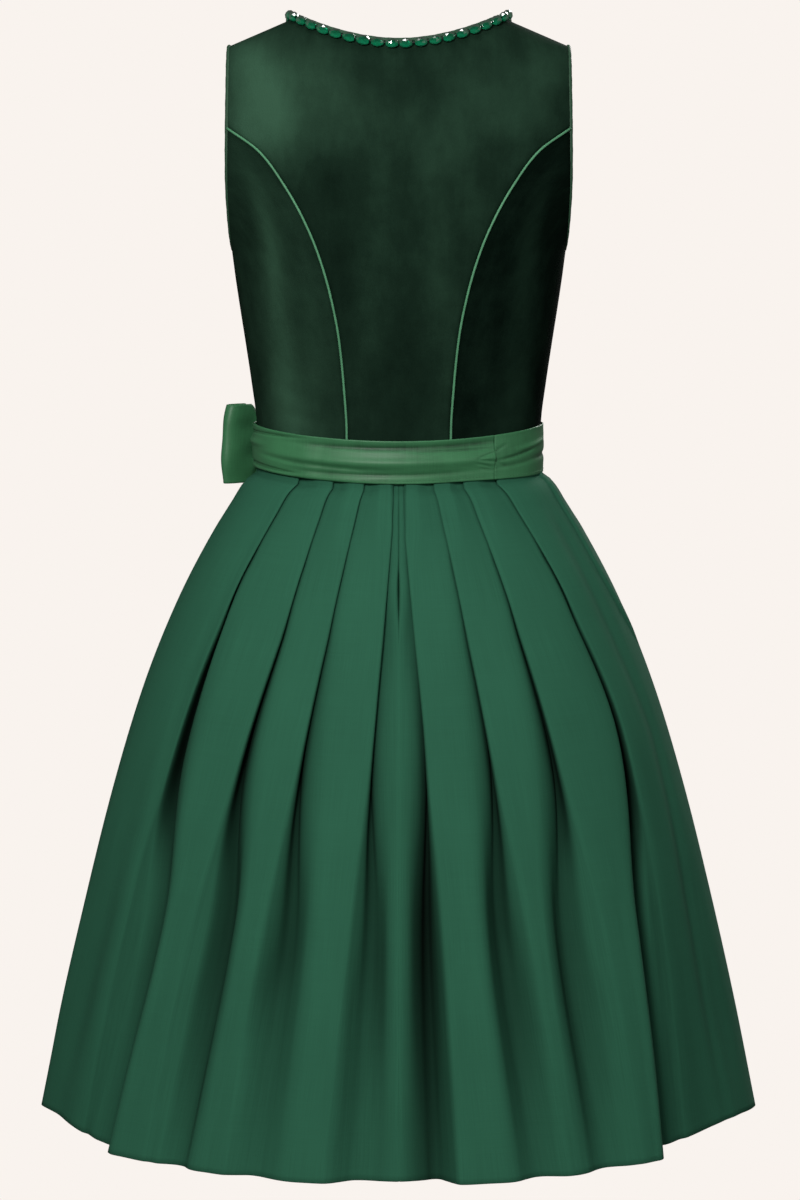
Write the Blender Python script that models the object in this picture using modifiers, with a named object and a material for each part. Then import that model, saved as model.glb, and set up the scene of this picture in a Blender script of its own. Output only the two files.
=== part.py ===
"""Dirndl dress with its apron and tied satin band: every sewn piece as its own closed cloth wall.

Metres, +Z up. The front of the dress faces -Y, the back faces +Y, and the wearer's left is +X.
The origin lies between the shoulders, level with the highest points of the shoulder seams.
"""
import math

import bpy
import numpy as np

# ---------------------------------------------------------------- driving dimensions (metres)
SEAM_GAP = 0.0004            # between neighbouring pieces at a seam
VELVET_WALL = 0.0015
SKIRT_WALL = 0.0010
SATIN_WALL = 0.0011

NECK_HALF = 0.0945           # neck points, from the centre line
SHOULDER_HALF = 0.1632       # shoulder tips, from the centre line
SHOULDER_DROP = 0.0294       # tip below neck point
NECK_DIP_BACK = 0.0228
NECK_DIP_FRONT = 0.1650
NECK_SQUARE = 2.6            # how square the scoop of the front neckline is
UNDERARM_Z = -0.2205
WAIST_Z = -0.4200            # seam between bodice and skirt
HEM_Z = -1.0625
WAIST_DIP_BACK = 0.0100      # the waist hangs lower at centre back
WAIST_DIP_FRONT = 0.0060
ARMHOLE_BACK = 0.0500        # how far the armhole reaches behind the shoulder line
ARMHOLE_FRONT = 0.0560
ARMHOLE_CUT_IN = 0.0100      # front armhole, cut further in than the back one
WAIST_SQUARE = 2.00          # superellipse exponents of the body's sections
BACK_SQUARE = 2.15
FRONT_SQUARE = 2.40

PIPING_RADIUS = 0.0013
BEAD_RADIUS = 0.0046
BEAD_PITCH = 0.0136
BEAD_INSET = 0.0085          # bead string, below the neck edge
THREAD_RADIUS = 0.0012
SEAM_PIPING_CLEAR = 0.0003   # off the cloth beside or below it
ARMHOLE_PIPING_CLEAR = 0.0005
NECK_PIPING_CLEAR = 0.0007
BEAD_CLEAR = 0.0012
BEAD_ROUTE_STEPS = 20        # points on each quarter of the bead string's route

BAND_TOP_Z = -0.3889         # at the sides
BAND_HEIGHT = 0.0400
BAND_EXTRA_RIGHT = 0.0060    # the band is deeper on the wearer's right
BAND_BULGE = 0.0008
BAND_CLEAR = 0.0014          # above the pleats it lies on
LAYER_GAP = 0.0006           # between layers of satin at the waist
JOIN_ANGLE = -40.0           # seam between waistband and tie, from centre back, + toward the left
UNDERLAP_ANGLE = 44.0        # end of the waistband under the tie
KNOT_ANGLE = 128.0
STEP_ANGLE = 7.0             # spacing of the band's sections
WAIST_SHARE = 0.004          # share of the skirt's length whose section the band follows

PLEAT_PITCH = 0.0018         # between the layers of a pressed pleat
PLEAT_OVERLAP = 0.0105
PRESSED_TO = 0.07            # shares of the length: pressed flat, lifting and fallen open
LIFTED_AT = 0.14
OPEN_FROM = 0.25
SOFT_FROM = 0.33
SOFT_AT = 0.78
SOFT_STEPS = (0.0, 0.15, 0.30, 0.45, 0.60, 0.74, 0.86, 0.95, 1.0)
SWEPT_ROWS = 4               # bands of faces above the height where the pleats stand open
CENTRE_CLEAR = 0.0009        # the box pleat's lines keep off the centre line
HEM_DEPTH_BACK = 0.2850
HEM_DEPTH_FRONT = 0.2500
HEM_SQUARE = 1.80
HEM_LIFT = {"back_left": 0.0120, "back_right": 0.0060, "front": 0.0}    # drawn up beside the side seam

APRON_EDGE_TOP = 104.0       # side edge of the apron, from centre back
APRON_EDGE_HEM = 116.0
APRON_END = 0.92             # share of the skirt's length
APRON_GATHERS = 7
APRON_WALL = 0.0010
APRON_CLEAR = 0.0006         # above the pleats it lies on
APRON_SWING = 0.0090         # depth of its gathers at the hem
APRON_ROWS = (-0.018, 0.0165, 0.026, 0.060, 0.120, 0.220, 0.350, 0.480, 0.591)

CROWN_BACK = 0.0100          # rise of the skirt's panels between pleats, at the hem
CROWN_FRONT = 0.0060

LOOP_LENGTH = 0.0520
LOOP_HEIGHT_KNOT = 0.0340
LOOP_HEIGHT_END = 0.0760
LOOP_GAPE = 0.0120           # half the loop's opening
LOOP_GAPE_KNOT = 0.0016
LOOP_STEPS = 14
LOOP_LINES = (-1.0, -0.5, 0.0, 0.5, 1.0)
KNOT_SIZE = (0.0320, 0.0180, 0.0440)     # along the band, outwards, up
KNOT_DROP = 0.0030           # below the middle of the band
KNOT_ROUNDING = 0.0060
BOW_CLEAR = 0.0005
TAIL_LENGTH = 0.340
TAIL_WAVE = 0.0015
TAIL_WIDTH_TOP = 0.026
TAIL_WIDTH_END = 0.066
TAIL_DROP = 0.0100           # from the band's lower edge to the tail's top
TAIL_STEPS = 8
TAIL_LINES = (-0.5, -0.25, 0.0, 0.25, 0.5)
TAILS = {
    # start and end angle from the knot's, height above the apron
    "side": (-3.0, -6.0, 0.0035),
    "front": (3.0, 12.0, 0.0100),
}

# half-width of the bodice at the side or armhole edge, and its depth behind and before the shoulder line
TORSO = (
    # z,     half_width, back,   front
    (0.0000, 0.0945, 0.0400, 0.0300),
    (-0.0294, 0.1632, 0.0610, 0.0460),
    (-0.0650, 0.1632, 0.0800, 0.0660),
    (-0.1000, 0.1636, 0.0930, 0.0850),
    (-0.1500, 0.1640, 0.1035, 0.1080),
    (-0.2000, 0.1621, 0.1055, 0.1240),
    (-0.2400, 0.1578, 0.1035, 0.1290),
    (-0.2700, 0.1536, 0.1010, 0.1250),
    (-0.3100, 0.1475, 0.0970, 0.1125),
    (-0.3500, 0.1417, 0.0925, 0.1015),
    (-0.3850, 0.1374, 0.0897, 0.0950),
    (-0.4200, 0.1360, 0.0885, 0.0930),
    (-0.4400, 0.1360, 0.0885, 0.0930),
)
# shaped seams from the waist to the armhole: height and distance from the centre line
BACK_SEAM = (
    # z,     x
    (-0.4400, 0.0487),
    (-0.3900, 0.0490),
    (-0.3488, 0.0515),
    (-0.3027, 0.0561),
    (-0.2596, 0.0645),
    (-0.2195, 0.0766),
    (-0.1878, 0.0905),
    (-0.1589, 0.1072),
    (-0.1283, 0.1305),
    (-0.1050, 0.1637),
)
FRONT_SEAM = (
    # z,     x
    (-0.4400, 0.0580),
    (-0.3800, 0.0630),
    (-0.3200, 0.0740),
    (-0.2600, 0.0860),
    (-0.2100, 0.1010),
    (-0.1650, 0.1230),
    (-0.1250, 0.1537),
)
# half-width of the skirt at its sides
SKIRT = (
    # drop,  half_width
    (0.0000, 0.1360),
    (0.0165, 0.1372),
    (0.0205, 0.1430),
    (0.0241, 0.1474),
    (0.0436, 0.1603),
    (0.0825, 0.1841),
    (0.1410, 0.2142),
    (0.2194, 0.2460),
    (0.3180, 0.2764),
    (0.4372, 0.3067),
    (0.5372, 0.3296),
    (0.6425, 0.3512),
)
# pleats of one half, from the centre outwards. Angles in degrees from the centre line, at the
# waist, hip, thigh, knee and hem. rim_* is how far the near rim lies before the pressed edge.
STATIONS = (0.0, 0.20, 0.40, 0.65, 1.0)
PLEATS = {
    "back_left": (
        # waist, hip, thigh, knee, hem, rim_thigh, rim_knee, rim_hem,
        # deep_thigh, deep_knee, deep_hem, recess, lean
        (1.2, 3.8, 5.9, 6.9, 10.5, 3.6, 4.6, 6.0, 0.010, 0.014, 0.008, 0.000, 0.0),
        (13.5, 17.5, 21.0, 23.4, 27.0, 3.6, 5.2, 6.0, 0.011, 0.014, -0.001, 0.000, -0.4),
        (26.5, 29.8, 34.6, 38.2, 42.0, 3.0, 6.2, 6.2, 0.014, 0.018, 0.000, 0.001, 0.7),
        (42.5, 50.6, 54.3, 56.8, 58.6, 4.5, 9.2, 6.4, 0.018, 0.022, 0.006, 0.008, 1.0),
    ),
    "back_right": (
        (0.8, 3.7, 6.0, 6.5, 8.6, 3.4, 4.2, 5.5, 0.013, 0.022, 0.014, 0.000, -0.8),
        (13.6, 17.0, 20.0, 22.0, 26.0, 3.0, 4.2, 5.0, 0.010, 0.014, -0.001, 0.000, 0.0),
        (25.8, 31.0, 34.8, 37.2, 39.5, 3.5, 7.0, 7.5, 0.013, 0.015, -0.001, 0.000, 0.4),
        (41.0, 51.0, 56.2, 56.2, 55.2, 2.0, 7.0, 8.6, 0.017, 0.028, 0.032, 0.028, 1.0),
    ),
    "front": (
        (10.0, 12.0, 15.0, 17.5, 20.0, 3.0, 4.0, 4.5, 0.008, 0.008, 0.002, 0.000, 0.0),
        (27.0, 30.5, 34.0, 37.0, 40.0, 3.5, 5.0, 5.5, 0.009, 0.010, 0.003, 0.000, 0.0),
        (43.0, 49.0, 53.0, 56.0, 58.0, 4.0, 6.0, 6.0, 0.012, 0.014, 0.005, 0.004, 0.5),
    ),
}
SKIRT_ROWS = (0.0, 0.0257, 0.07, 0.14, 0.25, 0.42, 0.54, 0.72, 1.0)

COLOURS = {
    # finish: base colour, roughness, metallic
    "velvet": ((0.012, 0.036, 0.024), 0.85, 0.0),
    "twill": ((0.034, 0.135, 0.082), 0.80, 0.0),
    "satin": ((0.045, 0.120, 0.060), 0.38, 0.0),
    "glass": ((0.004, 0.130, 0.060), 0.08, 0.0),
}


# ---------------------------------------------------------------- numbers from tables
def smooth(xs, ys, at):
    """Monotone cubic through the points (xs, ys), read at one or many places."""
    xs = np.asarray(xs, float)
    ys = np.asarray(ys, float)
    step = np.diff(xs)
    rise = np.diff(ys) / step
    slope = np.zeros(len(xs))
    slope[0] = rise[0]
    slope[-1] = rise[-1]
    for i in range(1, len(xs) - 1):
        if rise[i - 1] * rise[i] > 0:
            near = 2 * step[i] + step[i - 1]
            far = step[i] + 2 * step[i - 1]
            slope[i] = (near + far) / (near / rise[i - 1] + far / rise[i])
    at = np.clip(np.asarray(at, float), xs[0], xs[-1])
    k = np.clip(np.searchsorted(xs, at, side="right") - 1, 0, len(xs) - 2)
    u = (at - xs[k]) / step[k]
    start = (1 + 2 * u) * (1 - u) ** 2 * ys[k] + u * (1 - u) ** 2 * step[k] * slope[k]
    end = u * u * (3 - 2 * u) * ys[k + 1] + u * u * (u - 1) * step[k] * slope[k + 1]
    return start + end


def column(table, index, at):
    """Column of a table whose first column falls from row to row."""
    rows = sorted(table)
    return float(smooth([r[0] for r in rows], [r[index] for r in rows], at))


def ramp(low, high, value):
    """0 below low, 1 above high, smooth between."""
    u = min(1.0, max(0.0, (value - low) / (high - low)))
    return u * u * (3 - 2 * u)


def mix(a, b, share):
    return a + (b - a) * share


# ---------------------------------------------------------------- form of the bodice
ARMHOLE_MID_Z = (UNDERARM_Z - SHOULDER_DROP) / 2
ARMHOLE_HALF_Z = (-SHOULDER_DROP - UNDERARM_Z) / 2


def armhole_share(z):
    """0 at the shoulder tip and at the underarm, 1 half way between."""
    return math.sqrt(max(0.0, 1 - ((z - ARMHOLE_MID_Z) / ARMHOLE_HALF_Z) ** 2))


def edge_half_width(z, front):
    """Distance of the side or armhole edge from the centre line."""
    if z > -SHOULDER_DROP:
        return NECK_HALF + (SHOULDER_HALF - NECK_HALF) * min(1.0, -z / SHOULDER_DROP)
    width = column(TORSO, 1, z)
    if front and z > UNDERARM_Z:
        width -= ARMHOLE_CUT_IN * armhole_share(z) ** 2
    return width


def section(z, front):
    """Half-width, depth and squareness of the body's section at one height."""
    depth = column(TORSO, 3 if front else 2, z)
    square = mix(WAIST_SQUARE, FRONT_SQUARE if front else BACK_SQUARE, ramp(-0.385, -0.300, z))
    width = edge_half_width(z, front)
    if UNDERARM_Z < z < -SHOULDER_DROP:
        reach = (ARMHOLE_FRONT if front else ARMHOLE_BACK) * armhole_share(z)
        width /= (1 - (reach / depth) ** square) ** (1 / square)
    return width, depth, square


def body_point(x, z, front):
    """Point of the bodice's outer face over (x, z), and the direction out of it."""
    width, depth, square = section(z, front)
    share = min(1.0, abs(x) / width)
    y = depth * (1 - share ** square) ** (1 / square)

    def level(px, py, pz):
        w, d, n = section(pz, front)
        return (abs(px) / w) ** n + (abs(py) / d) ** n

    e = 0.0004
    out = np.array((
        level(x + e, y, z) - level(x - e, y, z),
        level(x, y + e, z) - level(x, y - e, z),
        level(x, y, z + e) - level(x, y, z - e),
    ))
    out /= np.linalg.norm(out)
    turn = np.array((1.0, -1.0 if front else 1.0, 1.0))
    return np.array((x, y, z)) * turn, out * turn


def angle_x(angle, z, front):
    """Distance from the centre line at an angle round the section (90 is the side)."""
    width, _, square = section(z, front)
    return width * math.sin(math.radians(angle)) ** (2 / square)


def x_angle(x, z, front):
    width, _, square = section(z, front)
    return math.degrees(math.asin(min(1.0, x / width) ** (square / 2)))


def waist_dip(x, front):
    share = max(0.0, 1 - (x / column(TORSO, 1, WAIST_Z)) ** 2)
    return (WAIST_DIP_FRONT if front else WAIST_DIP_BACK) * share


def neck_edge(x, front):
    """Height of the neck edge or the shoulder seam over x."""
    x = abs(x)
    if x >= NECK_HALF:
        return -SHOULDER_DROP * (x - NECK_HALF) / (SHOULDER_HALF - NECK_HALF)
    if front:
        return -NECK_DIP_FRONT * math.sqrt(1 - (x / NECK_HALF) ** NECK_SQUARE)
    return -NECK_DIP_BACK * (1 - (x / NECK_HALF) ** 1.9)


SEAM_LEVELS = 8              # levels that neighbouring panels share along a shaped seam
ARM_LEVELS = 5
ARM_TURNS = 5                # steps along the armhole over a side panel


def seam_table(front):
    return FRONT_SEAM if front else BACK_SEAM


def seam_levels(front):
    """Heights up the shaped seam and on up the armhole, to the shoulder tip."""
    x = seam_table(front)[0][1]
    low = WAIST_Z + SEAM_GAP - waist_dip(x, front)
    junction = seam_table(front)[-1][0]
    seam = [mix(low, junction, i / SEAM_LEVELS) for i in range(SEAM_LEVELS + 1)]
    arm = []
    for i in range(1, ARM_LEVELS + 1):
        share = math.sin(math.pi / 2 * i / ARM_LEVELS)
        arm.append(mix(junction, -SHOULDER_DROP, share))
    return seam, arm


NECK_COLUMNS_BACK = (0.0, 0.30, 0.58, 0.80, 0.93, 1.0)
NECK_TURNS = (0.0, 15.0, 32.0, 50.0, 66.0, 80.0, 90.0)     # degrees round the front neckline
NECK_COLUMNS_FRONT = [math.sin(math.radians(t)) ** (2 / NECK_SQUARE) for t in NECK_TURNS]
SHOULDER_COLUMNS = (0.33, 0.67, 1.0)
FRONT_COLUMNS = (0.0, 0.2, 0.4, 0.6, 0.8, 1.0)


def seam_side(z, front, on_seam):
    """Distance from the centre line of the centre panel's outer edge."""
    if on_seam:
        return min(column(seam_table(front), 1, z), edge_half_width(z, front)) - SEAM_GAP / 2
    return edge_half_width(z, front)


def back_centre_panel():
    """Outer and inner points of the half panel between the centre back and the shaped seam."""
    tops = [NECK_HALF * c for c in NECK_COLUMNS_BACK]
    tops += [mix(NECK_HALF, SHOULDER_HALF, c) for c in SHOULDER_COLUMNS]
    seam, arm = seam_levels(False)
    levels = seam + arm
    outer = []
    inner = []
    for i, z_side in enumerate(levels):
        share = (z_side - levels[0]) / (levels[-1] - levels[0])
        side = seam_side(z_side, False, i < len(seam))
        row_out = []
        row_in = []
        for top in tops:
            s = top / SHOULDER_HALF
            bottom = WAIST_Z + SEAM_GAP - waist_dip(s * BACK_SEAM[0][1], False)
            point, out = body_point(s * side, mix(bottom, neck_edge(top, False), share), False)
            if i == len(levels) - 1 and top >= NECK_HALF:
                point[1] += SEAM_GAP / 2
            row_out.append(point)
            row_in.append(point - out * VELVET_WALL)
        outer.append(row_out)
        inner.append(row_in)
    return np.array(outer), np.array(inner)


def front_centre_panel():
    """Outer and inner points of the half panel between the centre front and the shaped seam."""
    seam, arm = seam_levels(True)
    levels = seam + arm
    body_rows = len(levels) - len(NECK_TURNS) + 1
    bottom = WAIST_Z + SEAM_GAP - waist_dip(0.0, True)
    outer = []
    inner = []
    for i, z_side in enumerate(levels):
        side = seam_side(z_side, True, i < len(seam))
        if i < body_rows:
            x_near = 0.0
            z_near = mix(bottom, -NECK_DIP_FRONT, i / (body_rows - 1))
        else:
            x_near = NECK_HALF * NECK_COLUMNS_FRONT[i - body_rows + 1]
            z_near = neck_edge(x_near, True)
        row_out = []
        row_in = []
        for across in FRONT_COLUMNS:
            x = mix(x_near, side, across)
            z = mix(z_near, z_side, across)
            if i == 0:
                z = WAIST_Z + SEAM_GAP - waist_dip(x, True)
            point, out = body_point(x, z, True)
            if i == len(levels) - 1:
                point[1] -= SEAM_GAP / 2
            row_out.append(point)
            row_in.append(point - out * VELVET_WALL)
        outer.append(row_out)
        inner.append(row_in)
    return np.array(outer), np.array(inner)


def side_panel(front):
    """Outer and inner points of the panel between the shaped seam and the side seam."""
    seam, _ = seam_levels(front)
    reach = ARMHOLE_FRONT if front else ARMHOLE_BACK
    junction = seam[-1]
    turn_start = math.asin((ARMHOLE_MID_Z - junction) / ARMHOLE_HALF_Z)
    start_low = x_angle(seam_table(front)[0][1], seam[0], front)
    outer = []
    inner = []
    for i, z_seam in enumerate(seam):
        share = i / (len(seam) - 1)
        x_seam = min(column(seam_table(front), 1, z_seam), edge_half_width(z_seam, front))
        start = x_angle(x_seam + SEAM_GAP / 2, z_seam, front)
        row_out = []
        row_in = []
        for j in range(ARM_TURNS + 1):
            across = j / ARM_TURNS
            turn = mix(turn_start, math.pi / 2, across)
            z_arm = ARMHOLE_MID_Z - ARMHOLE_HALF_Z * math.sin(turn)
            depth, square = section(z_arm, front)[1:]
            y_share = min(1.0, reach * armhole_share(z_arm) / depth)
            arm_angle = math.degrees(math.acos(y_share ** (square / 2)))
            junction_angle = math.degrees(
                math.acos((reach * armhole_share(junction) / section(junction, front)[1]) ** (square / 2)))
            plain = mix(start, 90.0, across)
            bow = arm_angle - mix(junction_angle, 90.0, across)
            angle = plain + bow * share ** 2
            x_low = angle_x(mix(start_low, 90.0, across), WAIST_Z, front)
            z = mix(WAIST_Z + SEAM_GAP - waist_dip(x_low, front), z_arm, share)
            if share < 1 and j == 0:
                z = z_seam
            point, out = body_point(angle_x(min(angle, 90.0), z, front), z, front)
            if j == ARM_TURNS:
                point[1] = (-SEAM_GAP if front else SEAM_GAP) / 2
                out = np.array((1.0, 0.0, 0.0))
            row_out.append(point)
            row_in.append(point - out * VELVET_WALL)
        outer.append(row_out)
        inner.append(row_in)
    return np.array(outer), np.array(inner)


# ---------------------------------------------------------------- form of the skirt
SKIRT_LENGTH = WAIST_Z - HEM_Z


class Ring:
    """The skirt's level section at one share of its length, read by distance from the centre."""

    def __init__(self, share, front):
        drop = share * SKIRT_LENGTH
        top = SKIRT[0][1]
        self.a = float(smooth([r[0] for r in SKIRT], [r[1] for r in SKIRT], drop))
        grown = (self.a - top) / (SKIRT[-1][1] - top)
        depth_top = TORSO[-1][3 if front else 2]
        self.b = mix(depth_top, HEM_DEPTH_FRONT if front else HEM_DEPTH_BACK, grown)
        self.n = mix(2.0, HEM_SQUARE, share)
        turn = np.linspace(0, math.pi / 2, 181)
        self.angles = np.degrees(turn)
        self.x = self.a * np.sin(turn) ** (2 / self.n)
        self.y = self.b * np.abs(np.cos(turn)) ** (2 / self.n)
        self.run = np.concatenate(((0,), np.cumsum(np.hypot(np.diff(self.x), np.diff(self.y)))))

    def at_angle(self, angle):
        return float(np.interp(angle, self.angles, self.run))

    def point(self, s, height):
        """Point at distance s from the centre, moved out by height."""
        x = float(np.interp(s, self.run, self.x))
        y = float(np.interp(s, self.run, self.y))
        nx = (x / self.a) ** (self.n - 1) / self.a
        ny = (y / self.b) ** (self.n - 1) / self.b
        size = math.hypot(nx, ny)
        past = s - min(max(s, 0.0), self.run[-1])
        nx, ny = nx / size, ny / size
        return x + nx * height + ny * past, y + ny * height - nx * past


def hem_lift(which, share, angle):
    """How far the hem is drawn up between the outer fold and the side seam."""
    return HEM_LIFT[which] * share ** 3 * np.sin(math.pi * np.clip((angle - 52.0) / 38.0, 0.0, 1.0))


def fold_depth(pleat, share):
    """Depth of a fold's valley below the skirt's plain form."""
    thigh, knee, hem = pleat[8:11]
    return float(smooth(STATIONS, (0.0, thigh * 0.8, thigh, knee, hem), share))


def centre_height(share, crown):
    """Height of the panel between the two centre folds, which bulges a little between its sunk edges."""
    deep = (fold_depth(PLEATS["back_left"][0], share) + fold_depth(PLEATS["back_right"][0], share)) / 2
    return mix(-0.9 * deep, crown, 0.72 * float(ramp(0.15, 0.42, share) * (1 - 0.7 * ramp(0.65, 1.0, share))))


def pleat_points(pleat, ring, share, crown, boxed):
    """The fold's line in (distance, height): near rim, valley and pressed edge."""
    waist, hip, thigh, knee, hem, rim_thigh, rim_knee, rim_hem = pleat[:8]
    recess, turn = pleat[-2:]
    edge = ring.at_angle(float(smooth(STATIONS, (waist, hip, thigh, knee, hem), share)))
    gap_angle = float(smooth(STATIONS, (0.5, 1.2, rim_thigh, rim_knee, rim_hem), share))
    rim = edge - gap_angle * ring.run[-1] / 90.0
    deep = fold_depth(pleat, share)
    low = -deep
    edge_height = crown - recess * ramp(0.35, 1.0, share)
    rim_height = centre_height(share, crown) if boxed else crown
    late = ramp(0.42, 0.74, share)
    g = PLEAT_PITCH
    over = edge + PLEAT_OVERLAP
    # pressed flat: under layer, turn, middle layer, edge, outer layer
    flat = (
        (edge - 0.006, 0.0), (edge + 0.003, 0.0), (over, 0.0), (over + g / 2, g / 2), (over, g),
        (edge + g / 2, g), (edge, 1.5 * g), (edge + g / 2, 2 * g), (over + 0.003, 2 * g),
    )
    # lifting: the under layer has sunk and slid back, the edge still stands proud
    lifted = (
        (edge - 0.0080, 0.0), (edge - 0.0030, -0.0004), (edge + 0.0064, -0.0052),
        (edge + 0.0077, -0.0058), (edge + 0.0080, -0.0044), (edge + 0.0014, 0.0012),
        (edge, 0.0018), (edge + 0.0009, 0.0027), (edge + 0.0070, 0.0030),
    )
    # fallen open: the rims stand apart and the valley lies under one of them
    r_edge = mix(0.0022, 0.0110, late)
    lean = abs(turn)
    r_rim = mix(0.0100, mix(0.0090, 0.0024, max(0.0, turn)), late)
    under = rim - 0.0015 if turn > 0 else edge + 0.0005
    valley = mix(edge + 0.0025, mix((edge + rim) / 2, under, lean), late)
    half = 0.0016 + 0.0030 * late * (1 - lean)
    shoulder = min(mix(0.0040, 0.0050, late), 0.4 * max(deep, 0.002))
    opened = (
        (rim - r_rim, rim_height), (rim, rim_height - 0.25 * r_rim),
        (valley - half, mix(low, rim_height, 0.22)), (valley, low),
        (valley + half, mix(low, edge_height, 0.20)),
        (mix(valley, edge, 1.05 - 0.6 * late), edge_height - shoulder),
        (edge, edge_height - 0.55 * r_edge), (edge + 0.45 * r_edge, edge_height - 0.15 * r_edge),
        (edge + 1.5 * r_edge, edge_height),
    )
    # softened: one rounded wave between two broad crests
    near, far = max(0.003, rim - 0.018), edge + 0.017
    bottom = mix(0.50, 0.34 if turn > 0 else 0.68, lean)
    waved = []
    for u in SOFT_STEPS:
        down = u / bottom if u < bottom else (1 - u) / (1 - bottom)
        crest = rim_height if u < bottom else edge_height
        waved.append((mix(near, far, u), mix(crest, low, 0.5 - 0.5 * math.cos(math.pi * down))))
    lift = min(1.0, max(0.0, (share - PRESSED_TO) / (LIFTED_AT - PRESSED_TO)))
    fall = min(1.0, max(0.0, (share - LIFTED_AT) / (OPEN_FROM - LIFTED_AT)))
    soften = float(ramp(SOFT_FROM, SOFT_AT, share)) * (1 - 0.45 * lean * lean)
    points = []
    for f, u, o, w in zip(flat, lifted, opened, waved):
        point = [mix(mix(mix(f[k], u[k], lift), o[k], fall), w[k], soften) for k in (0, 1)]
        points.append(tuple(point))
    if boxed:
        points = [(max(x, CENTRE_CLEAR + CENTRE_CLEAR * k), h) for k, (x, h) in enumerate(points)]
    return points


def skirt_half(share, front, which):
    """The half section's line from the centre to the side seam, in (distance, height)."""
    ring = Ring(share, front)
    crown = (CROWN_FRONT if front else CROWN_BACK) * ramp(0.15, 1.0, share)
    line = []
    for i, pleat in enumerate(PLEATS[which]):
        boxed = i == 0 and not front
        points = pleat_points(pleat, ring, share, crown, boxed)
        if not line:
            start = centre_height(share, crown) if boxed else crown
            line.append((0.0, start))
            if not boxed:
                line.append((points[0][0] * 0.5, start))
        else:
            last, first = line[-1], points[0]
            line.append((mix(last[0], first[0], 0.5), mix(last[1], first[1], 0.5)))
        line += points
    last = line[-1]
    end = ring.run[-1] - SEAM_GAP / 2
    for k in (0.25, 0.60, 1.0):
        line.append((mix(last[0], end, k), last[1] * (1 - ramp(0.0, 1.0, k))))
    return ring, line


def thicken(points, wall):
    """Two lines on either side of an open line, each half a wall away."""
    points = np.array(points)
    step = np.diff(points, axis=0)
    step /= np.linalg.norm(step, axis=1)[:, None]
    before = np.vstack((step[:1], step))
    after = np.vstack((step, step[-1:]))
    normal = np.column_stack((before[:, 1] + after[:, 1], -(before[:, 0] + after[:, 0])))
    normal /= np.linalg.norm(normal, axis=1)[:, None]
    across = np.sum(normal * np.column_stack((before[:, 1], -before[:, 0])), axis=1)
    offset = normal * (wall / 2 / np.maximum(across, 0.7))[:, None]
    return points + offset, points - offset


def skirt_panel(front):
    """Outer and inner points of the skirt's back or front from side seam to side seam."""
    outer = []
    inner = []
    for share in SKIRT_ROWS:
        halves = []
        for side, which in ((-1, "front" if front else "back_right"), (1, "front" if front else "back_left")):
            ring, line = skirt_half(share, front, which)
            level = [ring.point(s, h) for s, h in line]
            halves.append((side, [(side * x, y, s) for (x, y), (s, _) in zip(level, line)], ring))
        left = halves[1][1]
        right = halves[0][1]
        row = right[:0:-1] + left
        start = (right[0][1] + left[0][1]) / 2
        row[len(right) - 1] = (0.0, start, 0.0)
        flat = [(p[0], p[1]) for p in row]
        one, two = thicken(flat, SKIRT_WALL)
        ring = halves[0][2]
        dip = (WAIST_DIP_FRONT if front else WAIST_DIP_BACK) * (1 - share) ** 2
        heights = []
        for p in row:
            which = "front" if front else "back_left" if p[0] > 0 else "back_right"
            lift = hem_lift(which, share, np.interp(p[2], ring.run, ring.angles))
            heights.append(WAIST_Z - share * SKIRT_LENGTH - dip * max(0.0, 1 - (p[0] / ring.a) ** 2) + lift)
        turn = -1.0 if front else 1.0
        out = [(q[0], turn * q[1], z) for q, z in zip(two, heights)]
        into = [(q[0], turn * q[1], z) for q, z in zip(one, heights)]
        for line in (out, into):
            for end in (0, -1):
                line[end] = (line[end][0], turn * SEAM_GAP / 2, line[end][2])
        outer.append(out)
        inner.append(into)
    return np.array(outer), np.array(inner)


# ---------------------------------------------------------------- form of the waist
def around(angle):
    """Whether an angle from centre back lies in the front half, and its angle from that centre."""
    angle = (angle + 180) % 360 - 180
    side = -1 if angle < 0 else 1
    front = abs(angle) > 90
    return front, (180 - abs(angle) if front else abs(angle)), side


def over_ring(angle, share, height, z):
    """Point at an angle from centre back, a height out from the skirt's plain form."""
    front, turn, side = around(angle)
    ring = Ring(share, front)
    x, y = ring.point(ring.at_angle(turn), height)
    return np.array((side * x, -y if front else y, z))


def stack(angle):
    """Thickness of the pressed pleats at the waist."""
    _, turn, _ = around(angle)
    return SKIRT_WALL / 2 + 2 * PLEAT_PITCH * (1 - ramp(46.0, 86.0, turn))


def apron_share(angle):
    """1 where the apron lies under the band, 0 behind its side edges."""
    front, turn, _ = around(angle)
    edge = 180 - APRON_EDGE_TOP
    return 1 - ramp(edge, edge + 8.0, turn) if front else 0.0


def band_height(angle, layer):
    """Inner face of a layer of the satin band, out from the skirt's plain form."""
    base = stack(angle) + BAND_CLEAR
    waistband = base + (APRON_WALL + LAYER_GAP) * apron_share(angle)
    if layer == "waistband":
        return waistband
    over = waistband + SATIN_WALL + LAYER_GAP
    return mix(base, over, ramp(UNDERLAP_ANGLE - 14.0, UNDERLAP_ANGLE - 4.0, angle))


def waist_level(angle):
    front, turn, _ = around(angle)
    dip = WAIST_DIP_FRONT if front else WAIST_DIP_BACK
    return dip * math.cos(math.radians(turn)) ** 2


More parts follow.
